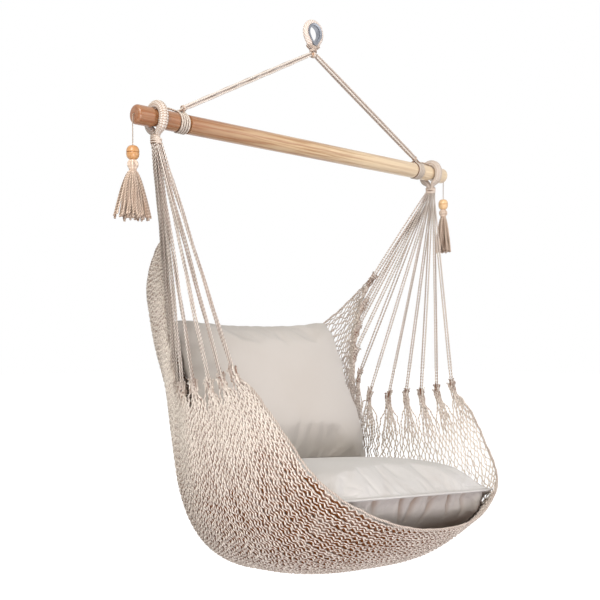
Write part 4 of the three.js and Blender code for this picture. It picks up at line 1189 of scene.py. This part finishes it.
corners = [big_centre + eye_out * (BIG_RADIUS + out) + (0, side, 0) for out, side in thimble_section()]
loop = [(i, (i + 1) % len(corners)) for i in range(len(corners))]
thimble = new_piece("spun_thimble", corners, loop, [])
make_active(thimble)
open_mesh()
spin_section(big_centre, math.pi + 2 * eye_lean, 56)
straight = small_centre - big_centre + (SMALL_RADIUS - BIG_RADIUS) * eye_out * (-1, 1, 1)
bpy.ops.mesh.extrude_edges_move(TRANSFORM_OT_translate={"value": straight})
spin_section(small_centre, math.pi - 2 * eye_lean, 14)
close_mesh()
print("the spun thimble has", len(thimble.data.vertices), "vertices before it is closed")

# %% Close the thimble
open_mesh("DESELECT")
bpy.ops.mesh.select_mode(type="EDGE")
bpy.ops.mesh.select_non_manifold()
bpy.ops.mesh.bridge_edge_loops()
bpy.ops.mesh.select_all(action="SELECT")
bpy.ops.mesh.remove_doubles(threshold=1e-6)
bpy.ops.mesh.normals_make_consistent(inside=False)
bpy.ops.mesh.select_mode(type="VERT")
close_mesh()
bpy.ops.object.shade_smooth_by_angle(angle=math.radians(40))
seat(thimble, "hanging_eye", thimble_finish, ["thimble"])

# %% [markdown]
# ### Eye rope, seizing and knot
# The rope's strands show as ridges that wind round it. Below the thimble its limbs are drawn down
# together and crossed by a seizing, and the legs leave from the knot under that.

# %% Eye rope
EYE_LIMB = 0.0033
EYE_LAY = 0.045
rope_offset = THIMBLE_WALL + GAP + ROPE_RADIUS
throat_top = THROAT_Z + 0.0072 + GAP


def eye_rope_stations():
    """Places and radii along the eye rope, where its limbs meet, and half way to there."""
    leave = small_centre + eye_out * (SMALL_RADIUS + rope_offset)
    slope = np.array([eye_out[2], 0, -eye_out[0]])
    run = (leave[0] - EYE_LIMB - 0.00015) / math.sin(eye_lean)
    meet, half = leave + slope * run, leave + slope * run * 0.5
    right = [(meet[0], 0, throat_top, EYE_LIMB), (*meet, EYE_LIMB), (*half, 0.0049), (*leave, ROPE_RADIUS)]
    far = BIG_RADIUS + rope_offset
    arc = [(far * math.cos(a), 0, big_centre[2] + far * math.sin(a), ROPE_RADIUS)
           for a in np.linspace(-eye_lean, math.pi + eye_lean, 21)]
    return right + arc[1:-1] + [(-x, *rest) for x, *rest in reversed(right)], meet, half


stations, limb_meet, limb_half = eye_rope_stations()
run = along_curve(stations, np.linspace(0, 1, 220))
turn = np.arange(48)[None] / 48
ridges = np.abs(np.cos(6 * math.pi * (turn + walked(run)[:, None] / EYE_LAY))) ** 0.5
radii = run[:, 3:4] * (0.91 + 0.09 * ridges)
eye_rope = cord_piece("laid_eye_rope", [tube(run[:, :3], radii, 48, face=(0, 1, 0), tone=0.35)])
seat(eye_rope, "hanging_eye", rope_finish, ["eye_rope"])

# %% Seizing and throat knot
SEIZING_STEP = 0.0021
SEIZING_REACH = 0.0085
KNOT_HALF = 0.0036
KNOT_TURNS = 3.6
KNOT_RADIUS = 0.0058
KNOT_CORD = 0.0017
CORE_HALF = 0.0049
CORE_RADIUS = 0.0046


def seizing_ring(slope, layer):
    """A ring round both limbs that leans to one side, so that the rings of both slopes cross in front."""
    angle = np.linspace(0, 2 * math.pi, 49)
    middle = (limb_half[2] + throat_top) / 2 + SEIZING_STEP * layer
    z = middle + slope * SEIZING_REACH * np.sin(angle)
    widening = np.maximum(0, z + 0.0019 - limb_meet[2]) / (limb_half[2] - limb_meet[2])
    reach = limb_meet[0] + (limb_half[0] - limb_meet[0]) * widening
    radius = reach + (EYE_LIMB + 0.0016 * widening) / math.cos(eye_lean) + 0.001
    outward = np.stack([np.sin(angle), -np.cos(angle), 0 * angle], axis=1)
    run = outward * np.stack([radius, radius * 0.72 + (0.0006 if slope > 0 else 0), 0 * z], axis=1)
    run[:, 2] = z
    return tube(run, WHIPPING_CORD, 8, outward, 0.2 + 0.4 * luck.random())


def knot_run():
    turn = np.linspace(0, KNOT_TURNS, 110)
    x = KNOT_HALF * (2 * turn / KNOT_TURNS - 1)
    radius = KNOT_RADIUS - 0.0006 * (x / KNOT_HALF) ** 2
    angle = 2 * math.pi * turn
    return np.stack([x, radius * np.sin(angle), THROAT_Z + radius * np.cos(angle)], axis=1)


rings = [seizing_ring(slope, layer) for slope in (-0.55, 0.55) for layer in (-1, 0, 1)]
seat(cord_piece("seizing_cord", rings), "hanging_eye", whipping_finish, ["throat_seizing"])
core = tube([(x, 0, THROAT_Z) for x in (-CORE_HALF, 0, CORE_HALF)], CORE_RADIUS, 16)
wound = tube(knot_run(), KNOT_CORD, 8, (knot_run() - (0, 0, THROAT_Z)) * (0, 1, 1), 0.3)
seat(cord_piece("throat_knot_cord", [wound, core]), "throat", whipping_finish, ["throat_knot"])

# %% [markdown]
# ## Tassels
# A tassel hangs from the hole in each tip of the bar. Its bead slides on the twine, its head is a
# bundle of yarn folded over, bound at the waist, and below that the strands flare and end where they
# were cut. The left one is fluffed out and the right one hangs slim.

# %% Twine
TASSEL_X = BAR_LENGTH / 2 + 0.003
HEAD_TOP = BAR_Z - 0.0873
TWINE_YARN = 0.0006
TWINE_WIND = 0.0005
TWINE_LAY = 0.006


def twine_run(side):
    knots = [(BAR_LENGTH / 2 - 0.010, 0, BAR_Z), (BAR_LENGTH / 2 - 0.002, 0, BAR_Z),
             (TASSEL_X - 0.0008, 0, BAR_Z - 0.00105), (TASSEL_X, 0, BAR_Z - 0.0042),
             (TASSEL_X, 0, BAR_Z - 0.045), (TASSEL_X, 0, HEAD_TOP - 0.002)]
    return along_curve(knots, np.linspace(0, 1, 150)) * (side, 1, 1)


for side, word in SIDES:
    strands = laid_strands(twine_run(side), 2, TWINE_YARN, TWINE_WIND, TWINE_LAY)
    twine = cord_piece(f"twine_{word}", strands)
    seat(twine, f"tassel_{word}", twine_finish, [f"tassel_twine_{word}"])

# %% Bead
BEAD_RADIUS = 0.0125
BEAD_HALF = 0.013
BEAD_BORE = 0.0016
BEAD_END = 0.52
BEAD_Z = BAR_Z - 0.074
UPPER_LOOPS = [(0.06, 0.99), (0.1, 1.0), (0.25, 0.99), (0.5, 0.94), (0.75, 0.82), (0.92, 0.66)]
BEAD_LOOPS = [(-height, share) for height, share in reversed(UPPER_LOOPS)] + [(0.0, 0.86)] + UPPER_LOOPS


def turned_bead(name, side):
    """A cylinder cut into loops, each scaled to the bead's profile, with a bore bridged through."""
    deselect()
    size = {"radius": BEAD_RADIUS, "depth": 2 * BEAD_HALF}
    bpy.ops.mesh.primitive_cylinder_add(vertices=40, end_fill_type="NGON", **size)
    bead = bpy.context.object
    bead.name = name
    open_mesh()
    for height, share in BEAD_LOOPS:
        bpy.ops.mesh.select_all(action="SELECT")
        bpy.ops.mesh.bisect(plane_co=(0, 0, height * BEAD_HALF), plane_no=(0, 0, 1))
    for height, share in BEAD_LOOPS + [(-1, BEAD_END), (1, BEAD_END)]:
        select_where(bead, "vertices", lambda vertex: abs(vertex.co.z - height * BEAD_HALF) < 1e-5)
        bpy.ops.transform.resize(value=(share, share, 1), center_override=(0, 0, 0))
    end_z = 0.9 * BEAD_HALF
    select_where(bead, "polygons", lambda face: abs(face.normal.z) > 0.99 and abs(face.center.z) > end_z)
    bpy.ops.mesh.inset(thickness=BEAD_END * BEAD_RADIUS - BEAD_BORE, use_individual=True)
    bpy.ops.mesh.bridge_edge_loops()
    bpy.ops.mesh.select_all(action="SELECT")
    bpy.ops.transform.translate(value=(side * TASSEL_X, 0, BEAD_Z))
    close_mesh()
    bpy.ops.object.shade_smooth_by_angle(angle=math.radians(50))
    return bead


for side, word in SIDES:
    seat(turned_bead(f"turned_bead_{word}", side), f"bead_{word}", bead_finish, [f"bead_{word}"])

# %% Tassel head
HEAD_STRANDS = 26
HEAD_YARN = 0.0012
BIND_RADIUS = 0.0064
BIND_CORD = 0.0008


def head_tubes(side):
    """The folded yarns, a plain core that fills their middle, and the binding round the waist."""
    centre = np.array([side * TASSEL_X, 0, HEAD_TOP])
    for strand in range(HEAD_STRANDS):
        angle = 2 * math.pi * (strand + 0.5 * luck.random()) / HEAD_STRANDS
        out = np.array([math.cos(angle), math.sin(angle), 0])
        full = 0.0088 + 0.0006 * luck.random()
        knots = [(0.0012, 0.0), (0.0050, -0.0008), (full, -0.0060), (full, -0.0120), (0.0062, -0.0170),
                 (0.0050, -0.0205)]
        points = [centre + out * radius + (0, 0, z) for radius, z in knots]
        yield tube(along_curve(points, np.linspace(0, 1, 14)), HEAD_YARN, 6, out, luck.random())
    core = [centre - (0, 0, down) for down in (0.0015, 0.005, 0.013, 0.0205)]
    yield tube(core, np.array([0.003, 0.0082, 0.0082, 0.0045]), 14, tone=0.8)
    turn = np.linspace(0, 4, 100)
    angle = 2 * math.pi * turn
    bind = [BIND_RADIUS * np.cos(angle), BIND_RADIUS * np.sin(angle), -0.0165 - 0.0045 * turn / 4]
    yield tube(np.stack(bind, axis=1) + centre, BIND_CORD, 6, tone=0.2)


# %% Tassel skirt
SKIRT_TOP = HEAD_TOP - 0.0203
SKIRT_LENGTH = 0.092
SKIRT_YARN = 0.0013
SKIRT_WIND = 0.0011
SKIRT_LAY = 0.0115


def skirt_tubes(side, flare, cords):
    """Cords of two yarns each, which bell out below the head and swell where they were cut."""
    share = np.linspace(0, 1, 44)
    swell = np.interp(share, (0, 0.93, 1), (1, 1, 1.4))
    for cord in range(cords):
        ring = (cord % 3) / 2
        angle = 2.4 * cord + 0.3 * luck.random()
        out = np.array([math.cos(angle), math.sin(angle), 0])
        around = np.array([-math.sin(angle), math.cos(angle), 0])
        foot = flare * (0.4 + 0.6 * ring) * (0.9 + 0.1 * luck.random())
        length = SKIRT_LENGTH * (0.92 + 0.09 * luck.random())
        radius = 0.0046 * (0.3 + 0.7 * ring) * (1 - share) + foot * share**0.68
        curl = 0.0018 * np.sin(7 * share + cord) * share
        run = np.array([side * TASSEL_X, 0, 0]) + out * radius[:, None] + around * curl[:, None]
        run[:, 2] = SKIRT_TOP - length * share
        tone = 1.3 * luck.random() ** 1.5
        yield from laid_strands(run, 2, SKIRT_YARN * swell, SKIRT_WIND, SKIRT_LAY, tone=tone)


for (side, word), flare, cords in zip(SIDES, (0.035, 0.0205), (72, 40)):
    head = cord_piece(f"tassel_head_{word}", head_tubes(side))
    seat(head, f"tassel_{word}", tassel_finish, [f"tassel_knot_{word}"])
    skirt = cord_piece(f"skirt_strands_{word}", skirt_tubes(side, flare, cords))
    seat(skirt, f"tassel_{word}", tassel_finish, [f"tassel_skirt_{word}"])

# %% [markdown]
# ## Cushions
# Both cushions are stuffed covers. Each starts a little slimmer than it ends, is remeshed into even
# cells and blown up as cloth with its seam held, so that the cloth finds its own puckers. How far a
# point may move is capped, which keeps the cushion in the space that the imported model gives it.

# %% Cushion form
CELL = 0.005
FORM_CELLS = 96


def seam_outline(s, t, width, depth, rounding, waist):
    """Where a point of the square -1 to 1 lies in a cushion seen from above."""
    x = width / 2 * s * np.sqrt(1 - rounding * t * t) * (1 - 0.3 * waist * (1 - t * t) * s * s)
    y = depth / 2 * t * np.sqrt(1 - rounding * s * s) * (1 - waist * (1 - s * s) * t * t)
    return x, y


def cushion_form(name, width, depth, crown, belly, rounding, waist, across=2.6):
    """A stuffed form about its seam plane, as a closed mesh. The waist draws in the middle of each side."""
    steps = np.sin(np.linspace(-math.pi / 2, math.pi / 2, FORM_CELLS + 1))
    s, t = np.meshgrid(steps, steps, indexing="ij")
    x, y = seam_outline(s, t, width, depth, rounding, waist)
    full = (1 - np.abs(s) ** across).clip(0) ** 0.45 * (1 - np.abs(t) ** 2.6).clip(0) ** 0.5
    corners = np.vstack([np.stack([x, y, full * high], axis=-1).reshape(-1, 3) for high in (crown, -belly)])
    index = np.arange(x.size).reshape(x.shape)
    on_seam = np.ones_like(index, bool)
    on_seam[1:-1, 1:-1] = False
    quads = []
    for grid, order in ((index, [0, 1, 2, 3]), (np.where(on_seam, index, index + index.size), [0, 3, 2, 1])):
        loop = (grid[:-1, :-1], grid[1:, :-1], grid[1:, 1:], grid[:-1, 1:])
        quads.append(np.stack([corner.ravel() for corner in loop], axis=1)[:, order])
    piece = new_piece(name, corners, [], np.vstack(quads).tolist())
    make_active(piece)
    open_mesh()
    bpy.ops.mesh.delete_loose()
    close_mesh()
    return piece


# %% Places of a mesh
def read_places(piece, what="co"):
    """The places of a mesh's vertices as rows, or their normals."""
    rows = np.empty(len(piece.data.vertices) * 3)
    piece.data.vertices.foreach_get(what, rows)
    return rows.reshape(-1, 3)


def write_places(piece, places):
    piece.data.vertices.foreach_set("co", places.ravel())


def place_cushion(piece, turn_x, turn_y, centre):
    """Turns a cushion about X, then about Y, and sets it down."""
    for turns in ((turn_x, 0, 0), (0, turn_y, 0)):
        piece.rotation_euler = turns
        bake_place(piece)
    piece.location = centre
    bake_place(piece)


# %% Cushion blown up as cloth
CLOTH_FRAMES = 20
CLOTH_GROWTH = 0.05
CLOTH_CAP = 0.010
CLOTH_PRESSURE = 4.0
SEAM_HELD = 0.004


def inflate(piece):
    """Inflates a form as cloth with its seam held, and caps how far each point moves."""
    rest = read_places(piece)
    held = piece.vertex_groups.new(name="held seam")
    for index in np.flatnonzero(np.abs(rest[:, 2]) < SEAM_HELD):
        held.add([int(index)], 1.0, "REPLACE")
    cloth = piece.modifiers.new("stuffing", "CLOTH")
    cloth.settings.quality = 6
    cloth.settings.use_pressure = True
    cloth.settings.uniform_pressure_force = CLOTH_PRESSURE
    cloth.settings.effector_weights.gravity = 0.0
    cloth.settings.shrink_min = -CLOTH_GROWTH
    cloth.settings.vertex_group_mass = "held seam"
    cloth.point_cache.frame_end = CLOTH_FRAMES
    for number in range(1, CLOTH_FRAMES + 1):
        bpy.context.scene.frame_set(number)
    apply_all(piece)
    moved = read_places(piece) - rest
    far = np.linalg.norm(moved, axis=1, keepdims=True)
    write_places(piece, rest + moved * np.minimum(1, CLOTH_CAP / np.maximum(far, 1e-9)))
    bpy.context.scene.frame_set(1)
    print(piece.name, "moved up to", round(float(far.max()) * 1000, 1), "mm before the cap")


def blow_up(piece, smoothings):
    """Remeshes a form into even cells, inflates it and smooths it."""
    make_active(piece)
    remesh = piece.modifiers.new("even cells", "REMESH")
    remesh.mode = "VOXEL"
    remesh.voxel_size = CELL
    apply_all(piece)
    inflate(piece)
    even = piece.modifiers.new("softer puckers", "SMOOTH")
    even.iterations = smoothings
    fine = piece.modifiers.new("one subdivision", "SUBSURF")
    fine.levels = fine.render_levels = 1
    apply_all(piece)
    piece.data.shade_smooth()
    return piece


# %% [markdown]
# ### Creases
# Stuffing strains a cover, so creases run in from its seam. Each one is a shallow valley that fades
# with its distance from the seam, and the attribute painted_shade darkens it with painted shade, as the
# shade inside it would. The same attribute paints shade in a band along the seam and over the lower side.


# %% Creases
def seam_place(places, size):
    """How far round the seam each point lies, and how far from the seam, both in metres."""
    width, depth = size
    s, t = places[:, 0] / (width / 2), places[:, 1] / (depth / 2)
    out = np.maximum(np.maximum(np.abs(s), np.abs(t)), 1e-6)
    s, t = s / out, t / out
    side = np.where(np.abs(s) >= np.abs(t), np.where(s > 0, 1, 3), np.where(t > 0, 2, 0))
    along = np.choose(side, [(1 + s) * width / 2, width + (1 + t) * depth / 2,
                             width + depth + (1 - s) * width / 2, 2 * width + depth + (1 - t) * depth / 2])
    return along, np.hypot(places[:, 2], (1 - out).clip(0) * np.where(side % 2 == 1, width, depth) / 2)


def uneven_creases(size, step, breadth, sink, length):
    """Creases at uneven steps round a seam: place, breadth, depth and length, in metres."""
    place, creases = 0.0, []
    while place < 2 * sum(size) - step[0]:
        creases.append((place, luck.uniform(*breadth), luck.uniform(*sink), luck.uniform(*length)))
        place += luck.uniform(*step)
    return creases


def press_creases(piece, size, way, **creases):
    """Presses creases into the upper side, way 1, or the lower side, way -1, of a cushion that lies flat, and
    paints shade into its creases, seam and lower side.
    """
    places = read_places(piece)
    along, away = seam_place(places, size)
    girth = 2 * sum(size)
    pressed = np.zeros(len(places))
    for place, breadth, sink, length in uneven_creases(size, **creases):
        off = (along - place - 0.55 * away * math.sin(90 * place) + girth / 2) % girth - girth / 2
        valley = np.exp(-((off / breadth) ** 2))
        pressed += sink * valley * (1 - smooth_step(0.2 * length, length, away)) * smooth_step(0, 0.008, away)
    pressed *= smooth_step(0, 0.003, way * places[:, 2])
    write_places(piece, places - read_places(piece, "normal") * pressed[:, None])
    painted_shade = piece.data.attributes.get("painted_shade") or piece.data.attributes.new("painted_shade", "FLOAT", "POINT")
    shade = np.empty(len(places))
    painted_shade.data.foreach_get("value", shade)
    # Painted shade: a dark band along the seam, and the whole lower side darker.
    seam_shade = 0.35 * np.exp(-((away / 0.004) ** 2)) + 0.28 * smooth_step(0, 0.004, -places[:, 2])
    painted_shade.data.foreach_set("value", np.maximum(shade, np.minimum(1, pressed / 0.009 + seam_shade)))
    print(piece.name, "is creased by up to", round(float(pressed.max()) * 1000, 1), "mm on side", way)

# %% Cushion kept in the sling
SAG_FADE = 0.030


def keep_in_sling(piece, gap, sag=0.0, under=0.0):
    """Moves points that lie in the net, or nearer to it than a gap, to that gap inside it.

    Points of the underside, where under is 1, also sink towards the net, by up to the sag.
    """
    samples = sheet.reshape(-1, 3)
    inward = sheet_normal.reshape(-1, 3)
    tree = KDTree(len(samples))
    for index, sample in enumerate(samples):
        tree.insert(sample, index)
    tree.balance()
    places = read_places(piece)
    nearest = np.array([tree.find(place)[1] for place in places])
    depth = ((places - samples[nearest]) * inward[nearest]).sum(axis=1)
    free = (depth - gap).clip(0)
    sunk = np.minimum(free, sag) * np.exp(-(((free - sag).clip(0) / SAG_FADE) ** 2)) * under
    move = (gap - depth).clip(0) - sunk
    write_places(piece, places + inward[nearest] * move[:, None])
    print(piece.name, "has points moved in by up to", round(float(move.max()) * 1000, 1), "mm")


# %% Seat cushion
SEAT_TILT = -math.radians(4)
SEAT_SIZE = (0.529, 0.442)
SEAT_CROWN = 0.060
SEAT_BELLY = 0.096
SEAT_ROUNDING = 0.07
SEAT_WAIST = 0.04
SEAM_HEIGHT = 0.1145
seat_centre = np.array([0, -0.090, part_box("seat_cushion")[0][2] + SEAM_HEIGHT])
form = cushion_form("stuffed_seat", *SEAT_SIZE, SEAT_CROWN, SEAT_BELLY, SEAT_ROUNDING, SEAT_WAIST, across=4.5)
cushion = blow_up(form, smoothings=1)
press_creases(cushion, SEAT_SIZE, -1, step=(0.025, 0.085), breadth=(0.005, 0.011), sink=(0.003, 0.007),
              length=(0.05, 0.11))
press_creases(cushion, SEAT_SIZE, 1, step=(0.04, 0.16), breadth=(0.009, 0.018), sink=(0.0006, 0.002),
              length=(0.03, 0.13))
underside = smooth_step(0.004, 0.030, -read_places(cushion)[:, 2])
place_cushion(cushion, SEAT_TILT, SLING_ROLL, seat_centre)
keep_in_sling(cushion, gap=0.0048, sag=0.024, under=underside)
seat(cushion, "seat_cushion", seat_finish, ["seat_cushion"])

# %% Seat piping
PIPING_RADIUS = 0.0026
PIPING_OUT = 0.003


def seam_run(size, rounding, waist, count=400):
    """The seam's outline from above, as a closed run."""
    side = np.linspace(-1, 1, count // 4, endpoint=False)
    whole = np.ones_like(side)
    s = np.concatenate([side, whole, -side, -whole])
    t = np.concatenate([-whole, side, whole, -side])
    x, y = seam_outline(s, t, *size, rounding, waist)
    run = np.stack([x, y, np.zeros_like(x)], axis=1)
    return np.vstack([run, run[:1]])


outline = seam_run([length + 2 * PIPING_OUT for length in SEAT_SIZE], SEAT_ROUNDING, SEAT_WAIST)
piping = cord_piece("seat_piping", [tube(outline, PIPING_RADIUS, 10, face=(0, 0, 1), tone=0.1)])
place_cushion(piping, SEAT_TILT, SLING_ROLL, seat_centre)
keep_in_sling(piping, gap=0.0035)
seat(piping, "seat_cushion", seat_finish, [])

# %% Back pillow
PILLOW_LEAN = math.radians(23)
PILLOW_SIZE = (0.490, 0.376)
PILLOW_CROWN = 0.069
PILLOW_ROUNDING = 0.03
PILLOW_WAIST = 0.095
pillow_centre = np.mean(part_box("back_pillow"), axis=0) + (-0.006, 0, -0.001)
form = cushion_form("stuffed_pillow", *PILLOW_SIZE, PILLOW_CROWN, PILLOW_CROWN, PILLOW_ROUNDING, PILLOW_WAIST)
pillow = blow_up(form, smoothings=10)
for way in (-1, 1):
    press_creases(pillow, PILLOW_SIZE, way, step=(0.06, 0.2), breadth=(0.010, 0.020), sink=(0.0003, 0.0012),
                  length=(0.03, 0.10))
place_cushion(pillow, math.pi / 2 - PILLOW_LEAN, 0, pillow_centre)
seat(pillow, "back_pillow", pillow_finish, ["back_pillow"])

# %% [markdown]
# ## Floor and light
# The photograph has a plain white ground. The floor is pale, and only what the camera and mirrors see
# of it is lifted to white, so that it adds no light of its own. Three broad soft lamps and an even
# world light the chair at the level at which its colours read as they were chosen.

# %% Floor
FLOOR_Z = -1.62


def seen_straight(tree):
    """1 for what the camera, a mirror or glass sees, and 0 for the light that falls on the chair."""
    path = tree.nodes.new("ShaderNodeLightPath")
    camera_ray, mirror_ray, glass_ray = (Value(tree, path.outputs[f"Is {kind} Ray"])
                                         for kind in ("Camera", "Glossy", "Transmission"))
    return calc("MAXIMUM", calc("MAXIMUM", camera_ray, mirror_ray), glass_ray)


def white_ground(name, strength):
    """A pale floor that camera and reflections see as white, and that still takes a shadow."""
    material, tree, shader = new_finish(name, 1.0, Base_Color=(0.7, 0.7, 0.7, 1), Specular_IOR_Level=0.0,
                                        Emission_Color=(1, 1, 1, 1))
    feed(seen_straight(tree) * strength, shader.inputs["Emission Strength"])
    return material


deselect()
bpy.ops.mesh.primitive_plane_add(size=40, location=(0, 0, FLOOR_Z))
floor = bpy.context.object
floor.name = "floor"
bake_place(floor)
floor.data.materials.append(white_ground("floor white", 0.75))
floor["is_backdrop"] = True
print("floor at", FLOOR_Z)


# %% World and lamps
def even_world(strength, colour):
    world = bpy.context.scene.world or bpy.data.worlds.new("world")
    bpy.context.scene.world = world
    world.use_nodes = True
    ground = world.node_tree.nodes["Background"]
    seen = seen_straight(world.node_tree)
    feed(blend_colours(seen, (*colour, 1), (1, 1, 1, 1)), ground.inputs["Color"])
    feed(seen * (1.0 - strength) + strength, ground.inputs["Strength"])


def soft_lamp(name, place, aim, size, power, colour=(1, 1, 1)):
    deselect()
    bpy.ops.object.light_add(type="AREA", location=place)
    lamp = bpy.context.object
    lamp.name = name
    lamp.data.size = size
    lamp.data.energy = power
    lamp.data.color = colour
    x, y, z = np.array(place) - np.array(aim)
    lamp.rotation_euler = (math.atan2(math.hypot(x, y), z), 0, math.atan2(y, x) + math.pi / 2)


even_world(0.54, (1.0, 0.99, 0.985))
soft_lamp("key lamp", (-2.6, -1.6, 1.4), (0, 0, -0.8), size=1.6, power=103, colour=(1.0, 0.98, 0.95))
soft_lamp("fill lamp", (1.6, -2.6, 0.2), (0, 0, -0.8), size=2.0, power=18)
soft_lamp("low lamp", (-1.0, -2.2, -1.5), (0, -0.1, -1.1), size=0.9, power=44, colour=(0.95, 0.92, 1.0))

# %% View and bounds
bpy.context.scene.view_settings.view_transform = "Standard"
[[list(corner) for corner in box] for box in (cad_bounds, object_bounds())]
